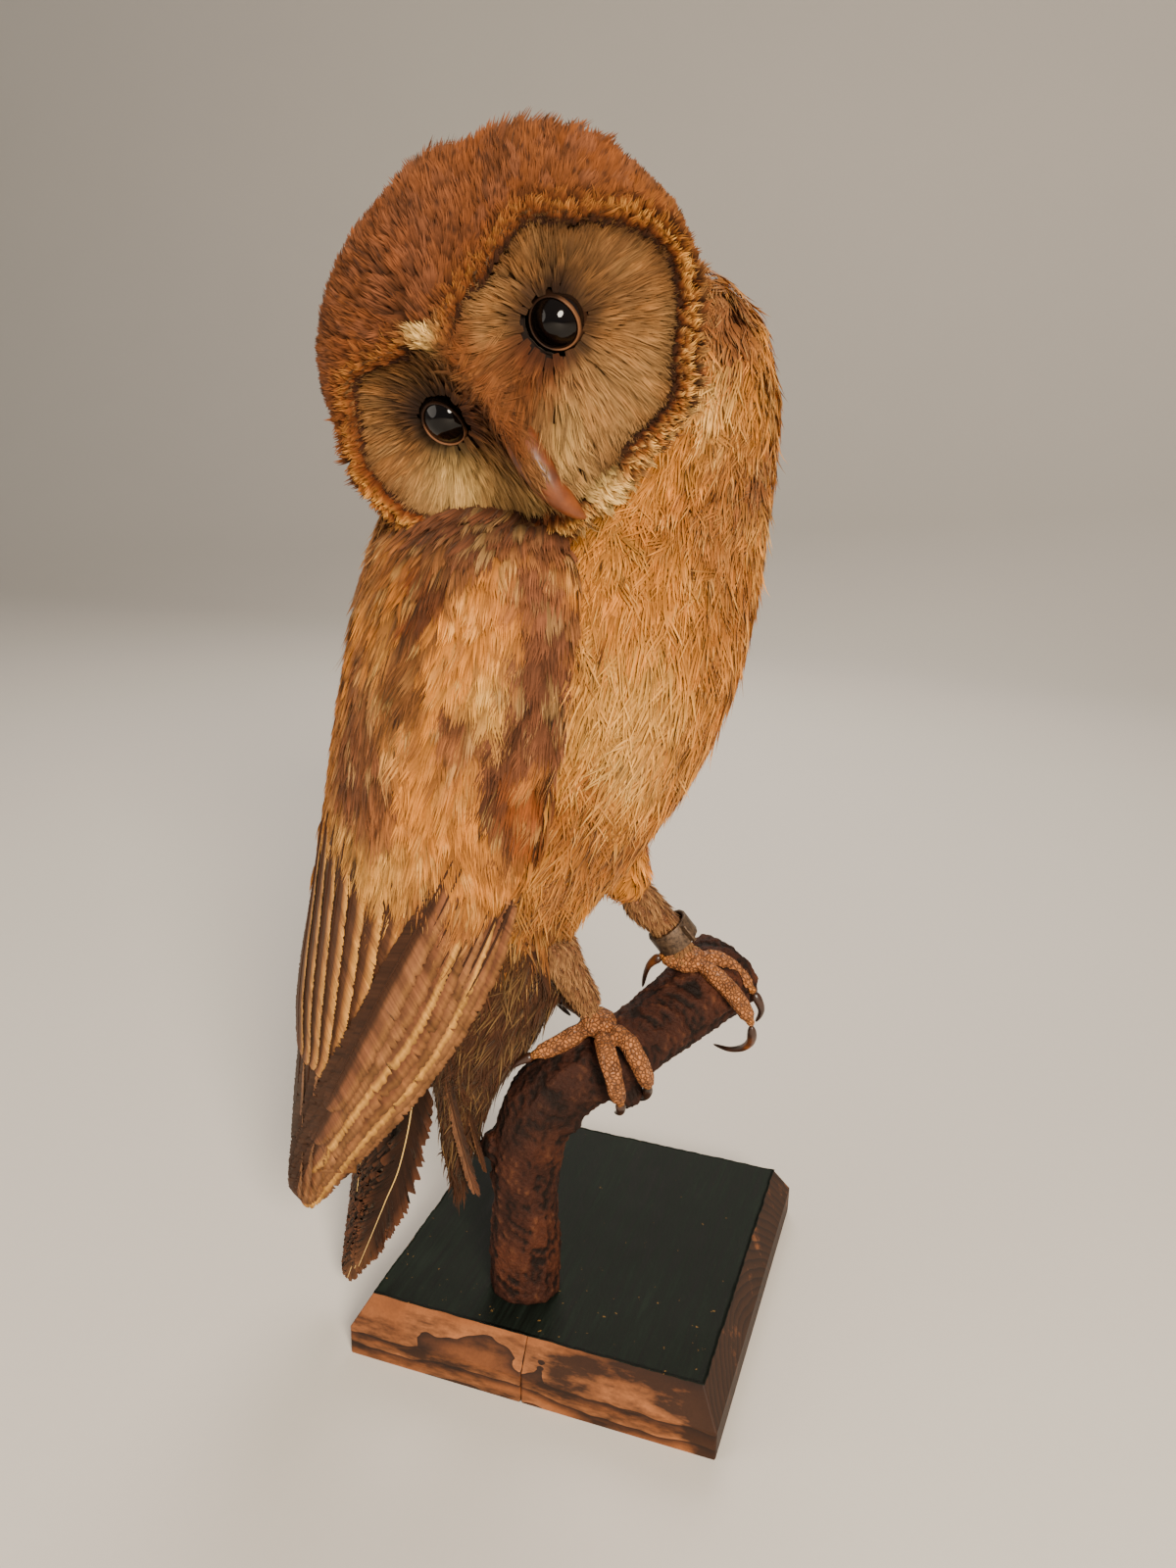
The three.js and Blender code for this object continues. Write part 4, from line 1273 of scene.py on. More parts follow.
def dressFlights():
    for side, label in ((-1, "right"), (1, "left")):
        rng = np.random.default_rng(211 + side)
        vanes = []
        for k in range(flights["primaries"]):
            # from the outermost, lowest in the stack, to the innermost
            s = k / (flights["primaries"] - 1)
            tipU = [0.93, 0.985, 1.0, 0.97, 0.92, 0.86, 0.80, 0.74][k]
            tipR = [0.9, 0.5, 0.0, -0.2, -0.25, -0.2, -0.1, 0.0][k]
            rootU, rootR = 0.44 - 0.05 * s, 0.92 - 0.30 * s
            midU = rootU + 0.5 * (tipU - rootU)
            midR = 0.86 - 0.55 * s
            lift = -1.1 + 3.0 * s
            spots = [(rootU, rootR, lift - 1.5 - 2.2 * s),
                     (rootU + 0.25 * (tipU - rootU), rootR * 0.5 + midR * 0.5, lift - 2.0 * s),
                     (midU, midR, lift), (rootU + 0.78 * (tipU - rootU), midR * 0.45 + tipR * 0.55, lift),
                     (tipU, tipR, lift)]
            trail = 0.5 if k == flights["primaries"] - 1 else 1.0
            vanes.append(wingFeather(side, spots, [4, 6.5, 8, 7.5, 5.5], primaryTint(k, rng), rng, trail))
        for rootR, tipU, tipR in flights["under"]:
            spots = [(0.60, rootR, -1.6), (0.70, rootR * 0.8 + tipR * 0.2, -0.3), (tipU * 0.5 + 0.38, tipR, 0.5),
                     (tipU, tipR, 0.7)]
            vanes.append(wingFeather(side, spots, [4, 7, 7.5, 5.5], primaryTint(3, rng), rng))
        for k in range(flights["secondaries"]):
            s = k / (flights["secondaries"] - 1)
            # from the outer one, next to the primaries, to the innermost on top
            rootR, tipR = 0.52 - 1.35 * s, 0.30 - 1.05 * s
            tipU = 0.735 - 0.06 * s + rng.uniform(-0.006, 0.006)
            lift = -0.6 + 3.4 * s
            spots = [(0.40, rootR, lift - 3.0), (0.50, rootR * 0.9 + tipR * 0.1, lift - 0.6),
                     (0.60, rootR * 0.6 + tipR * 0.4, lift + 0.2), (tipU, tipR, lift * 0.6)]
            vanes.append(wingFeather(side, spots, [4.5, 6.5, 7, 5.5], secondaryTint(k, rng), rng))
        packFeathers(f"flight_feathers_{label}", vanes, plumage["flight"], "flight_feathers", f"primaries_{label}")


# ---------- tail ----------

tailFacts = {
    "line": [[-46, 0, 166], [-54, -1, 142], [-60, -2, 112], [-64.5, -2, 72], [-68, -5, 52],
             [-71.5, -7.5, 36], [-75.5, -10.5, 20], [-79, -13, 8]],
    "sideways": [0.81, -0.57, 0.0],
    "fan": [-1.0, -0.6, -0.2, 0.2, 0.62, 1.0],
    "halves": [4, 7, 8.5, 8.5, 7.5, 5.0],
    "underLine": [[-33, -20, 128], [-36, -24.5, 108], [-32, -25.5, 84], [-27, -25, 62]],
    "under": [[0, 0, 0], [3.6, 2.6, 3]],
}


def tailTint(number):
    def tint(t, a):
        if a is None:
            return np.tile(tones["cream"] * 0.95, (len(t), 1))
        colour = np.tile(tones["deepDusk"] * 0.35, (len(t), 1))
        bars = smooth(0.3, 0.9, np.sin(2 * math.pi * (t * 6 + 0.15 * number)))
        colour = blendInto(colour, tones["fleck"], 0.55 * bars)
        colour = blendInto(colour, tones["dusk"] * 0.7, np.full(len(t), 0.6 * smooth(0.6, 1.0, abs(a))))
        return blendInto(colour, tones["legDown"] * 0.6, smooth(0.80, 1.0, t) * 0.6)
    return tint


def underTint(t, a):
    if a is None:
        return np.tile(tones["deepDusk"] * 0.6, (len(t), 1))
    colour = np.tile(tones["legDown"] * 0.75, (len(t), 1))
    colour = blendInto(colour, tones["deepDusk"] * 0.6, np.full(len(t), smooth(0.1, -0.3, a)))
    return blendInto(colour, tones["dusk"], 0.5 * smooth(0.7, 1.0, t))


def dressTail():
    rng = np.random.default_rng(307)
    line = np.array(tailFacts["line"], float)
    sideways = np.array(tailFacts["sideways"])
    away = np.array([0.57, 0.81, 0.0])
    vanes = []
    for number, fan in enumerate(tailFacts["fan"]):
        length = 1 - 0.10 * abs(fan) - rng.uniform(0, 0.03)
        t = np.linspace(0, length, 8)
        spots = throughPoints(line, t)
        spread = np.array([7, 10, 13, 14.5, 12.5, 9.5, 7, 5])[:, None]
        depth = (1.8 - 3.6 * number / 5) * (1 - 0.6 * t[:, None])
        spots = spots + sideways * fan * spread + away * depth
        ups = np.tile(-away, (8, 1)) + sideways * fan * 0.25
        half = throughPoints(np.array(tailFacts["halves"], float)[:, None],
                             np.linspace(0, 1, flights["barbs"] + 1))[:, 0]
        verts, faces, tints = bigVane(fromBird(spots), unit(ups @ birdTurn.T), half, tailTint(number), rng,
                                         flights["barbs"], flights["across"], tipRound=0.4, ragged=0.5, sweep=1.5)
        vanes.append((verts, faces, tints, vaneMap(flights["across"], flights["barbs"])))
    for number, shift in enumerate(tailFacts["under"]):
        spots = throughPoints(np.array(tailFacts["underLine"], float), np.linspace(0, 1 - 0.06 * number, 8)) + shift
        ups = np.tile(-away, (8, 1))
        half = np.full(flights["barbs"] + 1, 3.6 - 1.5 * number)
        verts, faces, tints = bigVane(fromBird(spots), unit(ups @ birdTurn.T), half, underTint, rng,
                                         flights["barbs"], flights["across"], tipRound=0.2, ragged=0.35, sweep=1.6)
        vanes.append((verts, faces, tints, vaneMap(flights["across"], flights["barbs"])))
    packFeathers("tail_feathers", vanes, plumage["flight"], "flight_feathers", "tail")


dressFlights()
dressTail()
print("long feathers laid")


# ---------- eyes and lids ----------

eyeFacts = {"radius": 8.0, "forward": -11.0, "apart": 19.0, "up": 1.0, "iris": 5.4, "bulge": 0.5}
lidFacts = {
    "left": {"wide": 5.4, "tall": 6.2, "shift": (0.0, 0.0)},
    "right": {"wide": 4.6, "tall": 5.8, "shift": (-0.9, -0.8)},
    "lip": 1.0, "wrinkle": 0.03,
}


def eyeMaterial():
    material, tree, shader = newMaterial("eye_glass")
    tint = addNode(tree, "ShaderNodeAttribute", attribute_name="tint")
    cloud = placeGroup(tree, mottle, Fine=700.0, Broad=300.0, Contrast=0.5)
    join(tree, tint.outputs["Color"], cloud.inputs["Colour"])
    join(tree, cloud.outputs["Colour"], shader.inputs["Base Color"])
    shader.inputs["Roughness"].default_value = 0.06
    shader.inputs["Specular IOR Level"].default_value = 0.22
    shader.inputs["Coat Weight"].default_value = 0.12
    shader.inputs["Coat Roughness"].default_value = 0.02
    return material


def gridFaces(rows, columns, closed=True):
    number = np.arange(rows * columns).reshape(rows, columns)
    nextColumn = np.roll(number, -1, axis=1) if closed else number[:, 1:]
    number = number if closed else number[:, :-1]
    return np.stack([number[:-1], nextColumn[:-1], nextColumn[1:], number[1:]], -1).reshape(-1, 4)


def makeEyes():
    glass = eyeMaterial()
    lidSkin = plumageMaterial("eyelid", roughness=0.5, sheen=0.0, contrast=0.25, fine=1800.0)
    for side, label in ((1, "left"), (-1, "right")):
        rows, columns = 30, 48
        polar = np.linspace(0.004, math.pi * 0.98, rows)[:, None]
        turn = np.linspace(0, 2 * math.pi, columns, endpoint=False)[None]
        ring = eyeFacts["radius"] * np.sin(polar)
        bump = eyeFacts["bulge"] * smooth(eyeFacts["iris"], 1.5, ring) * (polar < 1.5)
        f = eyeFacts["forward"] + eyeFacts["radius"] * np.cos(polar) + bump + 0 * turn
        l = side * eyeFacts["apart"] + ring * np.cos(turn)
        u = eyeFacts["up"] + ring * np.sin(turn)
        verts = fromHead(np.stack([f, l, u], -1).reshape(-1, 3))
        faces = gridFaces(rows, columns)
        edge = np.repeat(ring[:, 0], columns)
        colour = np.tile(paint("#080504"), (rows * columns, 1))
        colour = blendInto(colour, paint("#050303"), smooth(3.6, 3.1, edge))
        colour = blendInto(colour, paint("#1A100A"), smooth(5.8, 7.5, edge))
        caps = [list(range(columns))[::-1], list(range((rows - 1) * columns, rows * columns))]
        loops = np.concatenate([faces.ravel(), caps[0], caps[1]])
        eyeball = meshFrom(f"eyeball_{label}", verts, loops, [4] * len(faces) + [columns] * 2, tints=colour)
        finishPiece(eyeball, glass, "eye_glass", f"eye_{label}")

        # a thin lip against the eye, and a flange that runs out under the plumes
        theta = np.linspace(0, 2 * math.pi, 72, endpoint=False)[:, None]
        lip = lidFacts["lip"] * (1 + lidFacts["wrinkle"] * np.sin(13 * theta + side))
        profile = [(-0.05, -0.5), (0.0, 0.0), (0.12, 0.24), (0.32, 0.30), (0.5, 0.0), (0.8, -1.2), (2.2, -3.2),
                   (2.0, -4.0), (0.5, -2.4)]
        outX = np.array([x for x, _ in profile])[None] * lip
        outF = np.array([f for _, f in profile])[None] * lip
        shape = lidFacts[label]
        across = shape["shift"][0] + (shape["wide"] + outX) * np.cos(theta)
        tall = shape["shift"][1] + (shape["tall"] + outX) * np.sin(theta)
        near = np.hypot(shape["shift"][0] + shape["wide"] * np.cos(theta),
                        shape["shift"][1] + shape["tall"] * np.sin(theta))
        sphere = np.sqrt(np.maximum(1, (eyeFacts["radius"] + 0.1) ** 2 - near ** 2))
        f = eyeFacts["forward"] + sphere + outF
        verts = fromHead(np.stack([f, side * eyeFacts["apart"] + across, eyeFacts["up"] + tall], -1).reshape(-1, 3))
        number = np.arange(f.size).reshape(f.shape)
        down, right = np.roll(number, -1, axis=0), np.roll(number, -1, axis=1)
        both = np.roll(down, -1, axis=1)
        faces = np.stack([number, down, both, right], -1).reshape(-1, 4)[:, ::side]
        colour = np.tile(paint("#6E4A31"), (len(verts), 1))
        flange = np.broadcast_to(smooth(0.4, 0.9, np.array([x for x, _ in profile]))[None], f.shape).ravel()
        colour = blendInto(colour, tones["faceDark"], 0.95 * flange)
        # pale only along the lower, outer side
        lower = np.cos(theta - (-0.9 if side > 0 else -2.2))
        upper = np.broadcast_to(smooth(0.55, -0.1, lower), f.shape).ravel()
        colour = blendInto(colour, tones["faceDark"] * 0.6, 0.95 * upper)
        lid = meshFrom(f"eyelid_{label}", verts, faces.ravel(), [4] * len(faces), tints=colour)
        finishPiece(lid, lidSkin, "down")


# ---------- the face ----------

faceFacts = {
    "spacing": 1.35, "length": 12.0, "half": 1.15,
    "kind": {"strips": 8, "steps": 4, "fray": 0.5, "dome": 0.1, "loose": 0.08, "vary": 0.13},
    "eyeClear": 6.1,
}
ridgeUp = [-40, -24, -20, -15, -8, 0, 8, 30]
ridgeFront = [12, 20.4, 19.8, 17.3, 14.2, 11.5, 10.3, 9.5]


# whitish spots on the face: left, up, reach in mm, strength
facePale = [(-28, -14, 8, 0.6), (7, -18, 4.5, 0.55), (-3, 17, 2.8, 0.9), (4.5, -35, 3.0, 0.9), (-12, -30, 6, 0.35)]


def plumeForward(left, up):
    # the face, raised along the ridge so that plumes lie over the root of the bill
    ridge = np.interp(up, ridgeUp, ridgeFront) - 0.32 * np.abs(left) ** 1.75
    return np.maximum(faceForward(left, up), ridge)


def faceFlow(left, up):
    # plumes point away from the eyes, and down along the bill
    side = np.where(left >= 0, 1.0, -1.0)
    away = unit(np.stack([left - side * eyeFacts["apart"], up - eyeFacts["up"]], -1))
    toBill = unit(np.stack([-0.10 * left, -np.ones_like(left) * 3], -1))
    share = (np.exp(-(left / 8.5) ** 2) * smooth(9, -3, up))[:, None]
    raised = unit(np.stack([0.35 * side, np.ones_like(left)], -1))
    crest = (np.exp(-(left / 6.0) ** 2) * smooth(4, 12, up))[:, None]
    flow = away * (1 - share) + toBill * share
    return unit(flow * (1 - crest) + raised * crest)


def faceTints(left, up):
    side = np.where(left >= 0, 1.0, -1.0)
    fromEye = np.stack([side * (left - side * eyeFacts["apart"]), up - eyeFacts["up"]], -1)
    away = np.linalg.norm(fromEye, axis=1)
    way = unit(fromEye)
    edge = discEdge(left, up)
    colour = np.tile(tones["faceGrey"], (len(left), 1))
    spots = fromHead(np.stack([faceForward(left, up), left, up], 1))
    colour = blendInto(colour, tones["facePale"], 0.5 * smooth(-0.2, 0.8, ripple(spots, 0.012, 67)))
    colour = blendInto(colour, tones["facePale"], 0.55 * smooth(-4, -18, up) * smooth(8, 15, np.abs(left)))
    colour = blendInto(colour, tones["buff"], 0.35 * smooth(0, 0.8, ripple(spots, 0.009, 69)))
    brow = np.maximum(0, way @ unit(np.array([0.72, 0.69])))
    colour = blendInto(colour, tones["faceDark"], 0.95 * smooth(20, 8, away) * brow ** 5)
    colour = blendInto(colour, tones["faceDark"], 0.75 * smooth(10.5, 7, away))
    # painted shade round the owl's right eye, which lies in shadow
    colour = blendInto(colour, tones["faceDark"], 0.6 * smooth(15, 8, away) * (side < 0))
    for l, u, reach, strength in facePale:
        colour = blendInto(colour, tones["cream"], strength * np.exp(-((left - l) ** 2 + (up - u) ** 2) / reach ** 2))
    inner = np.maximum(0, way @ unit(np.array([-0.90, -0.42])))
    colour = blendInto(colour, tones["rufous"], 0.9 * smooth(17, 8, away) * inner ** 3)
    colour = blendInto(colour, tones["faceDark"], 0.7 * smooth(11, 7, away) * inner ** 4)
    middle = np.exp(-(left / 7.5) ** 2) * smooth(-26, -14, up)
    colour = blendInto(colour, tones["rufous"], 0.75 * middle)
    # painted shade in the crease beside the bill, deeper on the owl's left side
    creaseShade = np.exp(-((np.abs(left) - 4.5) / 1.6) ** 2) * smooth(3, -3, up) * smooth(-22, -12, up)
    colour = blendInto(colour, tones["faceDark"], (0.45 + 0.35 * (left > 0)) * creaseShade)
    return blendInto(colour, tones["brown"], 0.45 * smooth(0.86, 1.0, edge))


def plumeLines(left, up, ways, lengths, steps, low, high, crinkle=None):
    # midlines and surface normals of plumes on the face
    count = len(left)
    spots = np.empty((count, steps + 1, 3))
    ups = np.empty((count, steps + 1, 3))
    for k in range(steps + 1):
        t = k / steps
        l = left + ways[:, 0] * lengths * t
        u = up + ways[:, 1] * lengths * t
        f = plumeForward(l, u)
        slopeL = (plumeForward(l + 0.5, u) - plumeForward(l - 0.5, u))
        slopeU = (plumeForward(l, u + 0.5) - plumeForward(l, u - 0.5))
        normal = unit(np.stack([np.ones(count), -slopeL, -slopeU], -1))
        height = low + (high - low) * t ** 1.2
        spots[:, k] = np.stack([f, l, u], -1) + normal * np.asarray(height).reshape(-1, 1)
        ups[:, k] = normal
    return fromHead(spots), ups @ headTurn.T


def headSpots(points):
    # places in the bake map: those of the nearest skin points
    chosen = closest(points, guideVerts)
    return bodySurface["vertSpots"][chosen]


def dressFace():
    rng = np.random.default_rng(401)
    spacing = faceFacts["spacing"]
    count = int(3.0 * 110 * 80 / spacing ** 2)
    left = rng.uniform(-54, 54, count)
    up = rng.uniform(-42, 34, count)
    side = np.where(left >= 0, 1.0, -1.0)
    away = np.hypot(left - side * eyeFacts["apart"], (up - eyeFacts["up"]) * 0.94)
    kept = (discEdge(left, up) < 0.98) & (away > faceFacts["eyeClear"])
    kept &= ~((np.abs(left) < 4.5) & (up < -15))
    left, up, away = left[kept], up[kept], away[kept]
    kept = thinned(np.stack([left, up, 0 * up], 1), spacing)
    left, up, away = left[kept], up[kept], away[kept]
    ways = faceFlow(left, up)
    spin = np.radians(rng.normal(0, 7, len(left)))
    ways = np.stack([ways[:, 0] * np.cos(spin) - ways[:, 1] * np.sin(spin),
                     ways[:, 0] * np.sin(spin) + ways[:, 1] * np.cos(spin)], 1)
    lengths = faceFacts["length"] * rng.uniform(0.75, 1.2, len(left)) * (0.62 + 0.38 * smooth(7, 16, away))
    lengths = np.where((np.abs(left) < 7) & (up < 6), lengths * 1.15, lengths)
    for _ in range(6):  # plumes stop at the ruff
        endEdge = discEdge(left + ways[:, 0] * lengths, up + ways[:, 1] * lengths)
        lengths = np.where(endEdge > 0.99, lengths * 0.8, lengths)
    low = -1.3 + 1.3 * smooth(10, 6.5, away)
    high = 0.5 + rng.uniform(0, 0.7, len(left))
    spots, ups = plumeLines(left, up, ways, lengths, faceFacts["kind"]["steps"], low, high)
    rootTints = faceTints(left, up)
    tipTints = faceTints(left + ways[:, 0] * lengths * 0.8, up + ways[:, 1] * lengths * 0.8)
    halves = faceFacts["half"] * mm * rng.uniform(0.8, 1.2, len(left))
    buildVanes("face_plumes", spots, ups, halves, rootTints, tipTints, headSpots(spots[:, 0]),
               faceFacts["kind"], 403, plumage["head"], "head_plumage")


# ---------- the ruff round the face ----------

ruffRows = [
    # distance from the rim, length, half width, rise, tone, tip tone, and its height on the crown side
    {"offset": -2.0, "length": 3.4, "half": 0.8, "rise": 1.2, "tone": "ruffDark", "tip": "ruffDark"},
    {"offset": -0.9, "length": 4.0, "half": 1.0, "rise": 2.5, "tone": "rufous", "tip": "ruff"},
    {"offset": 0.3, "length": 4.4, "half": 1.1, "rise": 2.9, "tone": "orange", "tip": "paleGold"},
    {"offset": 1.5, "length": 4.6, "half": 1.2, "rise": 2.2, "tone": "rufous", "tip": "ruff"},
    {"offset": 2.8, "length": 5.2, "half": 1.2, "rise": 1.0, "tone": "ruffDark", "tip": "crown"},
]
ruffKind = {"strips": 6, "steps": 4, "fray": 0.45, "dome": 0.35, "loose": 0.08}
ruffSpacing = 0.95
ruffPale = [(-3, 18, 3.0), (7, -35, 3.5)]  # whitish clumps: left, up and reach in mm


def dressRuff():
    rng = np.random.default_rng(503)
    angles = np.linspace(0, 2 * math.pi, 720, endpoint=False)
    radius = discRadius(angles)
    stride = np.hypot(radius * 2 * math.pi / 720, np.gradient(radius))
    travel = np.cumsum(stride)
    parts = []
    for row in ruffRows:
        marks = np.arange(0, travel[-1], ruffSpacing) + rng.uniform(-0.4, 0.4, int(np.ceil(travel[-1] / ruffSpacing)))
        theta = np.interp(marks, travel, angles)
        reach = discRadius(theta) + row["offset"] + rng.normal(0, 0.35, len(theta))
        out = np.stack([np.cos(theta), np.sin(theta)], 1)
        left, up = reach * out[:, 0], discUp + reach * out[:, 1]
        rimForward = faceForward(discRadius(theta) * out[:, 0], discUp + discRadius(theta) * out[:, 1])
        base = rimForward - 0.35 * np.maximum(0, row["offset"]) - 1.0
        lean = rng.normal(0, 0.3, len(theta))
        way = np.stack([out[:, 0] - lean * out[:, 1], out[:, 1] + lean * out[:, 0]], 1)
        length = row["length"] * rng.uniform(0.75, 1.25, len(theta))
        steps = ruffKind["steps"]
        t = np.linspace(0, 1, steps + 1)
        wave = rng.normal(0, 0.28, (len(theta), steps + 1)) * t
        l = left[:, None] + way[:, :1] * length[:, None] * t + wave * -out[:, 1:]
        u = up[:, None] + way[:, 1:] * length[:, None] * t + wave * out[:, :1]
        crownSide = smooth(0.05, 0.5, out[:, 1])
        rise = row["rise"] * (1 - 0.55 * crownSide) * rng.uniform(0.7, 1.25, len(theta))
        f = base[:, None] + rise[:, None] * np.sin(np.pi * 0.72 * t)
        spots = np.stack([f, l, u], -1)
        ahead = unit(np.gradient(spots, axis=1))
        sideways = np.stack([0 * out[:, 0], -out[:, 1], out[:, 0]], 1)[:, None]
        ups = unit(np.cross(ahead, np.broadcast_to(sideways, ahead.shape)))
        ups = np.where(ups[..., :1] < 0, -ups, ups)
        lower = smooth(0.2, -0.9, out[:, 1])
        tone = np.tile(tones[row["tone"]], (len(theta), 1))
        tip = np.tile(tones[row["tip"]], (len(theta), 1))
        if row["tip"] != "ruffDark":
            tip = blendInto(tip, tones["cream"], 0.5 * lower * rng.random(len(theta)))
            tip = blendInto(tip, tones["crown"], 0.75 * crownSide)
            tone = blendInto(tone, tones["crown"] * 0.7, 0.6 * crownSide)
            tip = blendInto(tip, tones["ruffDark"], 0.5 * (rng.random(len(theta)) < 0.10))
        for l0, u0, size in ruffPale:
            near = 0.9 * np.exp(-((left - l0) ** 2 + (up - u0) ** 2) / size ** 2)
            tone, tip = blendInto(tone, tones["cream"], near), blendInto(tip, tones["cream"], near)
        parts.append((fromHead(spots), ups @ headTurn.T, row["half"] * mm * rng.uniform(0.8, 1.2, len(theta)), tone, tip))
    joinedParts = [np.concatenate([part[i] for part in parts]) for i in range(5)]
    spots, ups, halves, tone, tip = joinedParts
    buildVanes("ruff_feathers", spots, ups, halves, tone, tip, headSpots(spots[:, 0]), ruffKind, 507,
               plumage["head"], "head_plumage")


makeEyes()
dressFace()
dressRuff()
print("face done")


# ---------- bill, claws and ring ----------

def hornMaterial(name, base, tip, streak, roughness, coat):
    material, tree, shader = newMaterial(name)
    spot = addNode(tree, "ShaderNodeTexCoord")
    fibre = addNode(tree, "ShaderNodeTexNoise", Scale=420.0, Detail=4.0, Roughness=0.6)
    join(tree, spot.outputs["Object"], fibre.inputs["Vector"])
    blotch = addNode(tree, "ShaderNodeTexNoise", Scale=110.0, Detail=2.0)
    join(tree, spot.outputs["Object"], blotch.inputs["Vector"])
    colour = rampOf(tree, [(0.30, tip), (0.52, base), (0.75, streak)], blotch.outputs["Fac"])
    tone = placeGroup(tree, mottle, Fine=1400.0, Broad=260.0, Contrast=0.45)
    join(tree, colour, tone.inputs["Colour"])
    join(tree, tone.outputs["Colour"], shader.inputs["Base Color"])
    rough = addNode(tree, "ShaderNodeMapRange")
    rough.inputs["To Min"].default_value = roughness - 0.08
    rough.inputs["To Max"].default_value = roughness + 0.12
    join(tree, fibre.outputs["Fac"], rough.inputs["Value"])
    join(tree, rough.outputs["Result"], shader.inputs["Roughness"])
    shader.inputs["Coat Weight"].default_value = coat
    shader.inputs["Coat Roughness"].default_value = 0.25
    bumpInto(tree, shader, fibre.outputs["Fac"], 0.3, 0.0002)
    return material


def ringMaterial():
    material, tree, shader = newMaterial("ring_metal")
    spot = addNode(tree, "ShaderNodeTexCoord")
    scratch = addNode(tree, "ShaderNodeTexNoise", Scale=900.0, Detail=5.0, Roughness=0.7)
    join(tree, spot.outputs["Object"], scratch.inputs["Vector"])
    colour = rampOf(tree, [(0.35, "#2E221A"), (0.6, "#66513E")], scratch.outputs["Fac"])
    join(tree, colour, shader.inputs["Base Color"])
    shader.inputs["Metallic"].default_value = 0.45
    rough = addNode(tree, "ShaderNodeMapRange")
    rough.inputs["To Min"].default_value = 0.35
    rough.inputs["To Max"].default_value = 0.6
    join(tree, scratch.outputs["Fac"], rough.inputs["Value"])
    join(tree, rough.outputs["Result"], shader.inputs["Roughness"])
    bumpInto(tree, shader, scratch.outputs["Fac"], 0.15, 0.0001)
    return material


def refine(name, material, rounds=2, bevel=None):
    # a solid that stays: corners merged, then rounded off
    piece = nodes[name]
    weld = piece.modifiers.new("weld", "WELD")
    weld.merge_threshold = 0.00001
    if bevel:
        edge = piece.modifiers.new("bevel", "BEVEL")
        edge.width = bevel * mm
        edge.segments = 3
        edge.limit_method = "ANGLE"
    if rounds:
        subdivide = piece.modifiers.new("round", "SUBSURF")
        subdivide.levels = rounds
        subdivide.render_levels = rounds
    piece.data.materials.clear()
    piece.data.materials.append(material)
    piece.data.polygons.foreach_set("use_smooth", np.ones(len(piece.data.polygons), bool))


billHorn = hornMaterial("bill_horn", "#6C3510", "#44200A", "#8A4A1A", 0.45, 0.08)
clawHorn = hornMaterial("claw_horn", "#3A2013", "#160C07", "#80481F", 0.36, 0.25)
for name in nodes:
    if name.startswith("bill"):
        refine(name, billHorn)
    elif name.startswith("claw"):
        refine(name, clawHorn)
refine("leg_ring", ringMaterial(), rounds=0, bevel=0.15)
print("bill, claws and ring finished")


# ---------- branch ----------

barkFacts = {"voxel": 0.8, "ridge": 0.28, "flake": 0.28, "fine": 0.2}


def barkMaterial():
    material, tree, shader = newMaterial("bark")
    tint = addNode(tree, "ShaderNodeAttribute", attribute_name="tint")
    tone = placeGroup(tree, mottle, Fine=900.0, Broad=120.0, Contrast=0.9)
    join(tree, tint.outputs["Color"], tone.inputs["Colour"])
    join(tree, tone.outputs["Colour"], shader.inputs["Base Color"])
    shader.inputs["Roughness"].default_value = 0.72
    shader.inputs["Specular IOR Level"].default_value = 0.2
    bumpInto(tree, shader, tone.outputs["Height"], 0.9, 0.0009)
    return material


def makeBranch():
    body = meltTogether(["branch"], barkFacts["voxel"], 2, "bark_branch")
    verts, normals = meshArrays(body.data)
    verts -= normals * skinFacts["swell"] * mm
    long = verts * np.array([1, 1, 0.35])
    ridges = 1 - np.abs(ripple(long, 0.009, 71)) * 2
    flakes = smooth(-0.1, 0.15, ripple(verts, 0.011, 73)) - 0.5
    chips = smooth(0.1, 0.3, ripple(verts, 0.0055, 79))
    fine = ripple(verts, 0.0022, 83)
    relief = barkFacts["ridge"] * 0.5 * ridges + barkFacts["flake"] * flakes - 0.35 * chips + barkFacts["fine"] * fine
    foot = smooth(21.9, 24.0, verts[:, 2] / mm)
    verts = verts + normals * (relief * foot * mm)[:, None]
    colour = np.tile(paint("#351A10"), (len(verts), 1))
    colour = blendInto(colour, paint("#512917"), 0.6 * smooth(-0.2, 0.8, ripple(verts, 0.02, 89)))
    colour = blendInto(colour, paint("#140A06"), smooth(0.0, -0.5, relief))
    colour = blendInto(colour, paint("#6A4028"), 0.5 * smooth(0.2, 0.5, relief))
    z = verts[:, 2] / mm
    bend = smooth(72, 92, z) * smooth(118, 100, z)
    colour = blendInto(colour, paint("#1C0F0A"), 0.5 * bend)
    body.data.vertices.foreach_set("co", verts.astype(np.float32).ravel())
    layer = body.data.color_attributes.new("tint", "FLOAT_COLOR", "POINT")
    layer.data.foreach_set("color", np.concatenate([colour, np.ones((len(verts), 1))], 1).astype(np.float32).ravel())
    body.data.update()
    finishPiece(body, barkMaterial(), "bark", "branch")
    print("branch faces:", len(body.data.polygons))


makeBranch()


# ---------- board ----------

boardFacts = {"side": 128.0, "height": 21.9, "bevel": 6.1, "paint": 0.16}


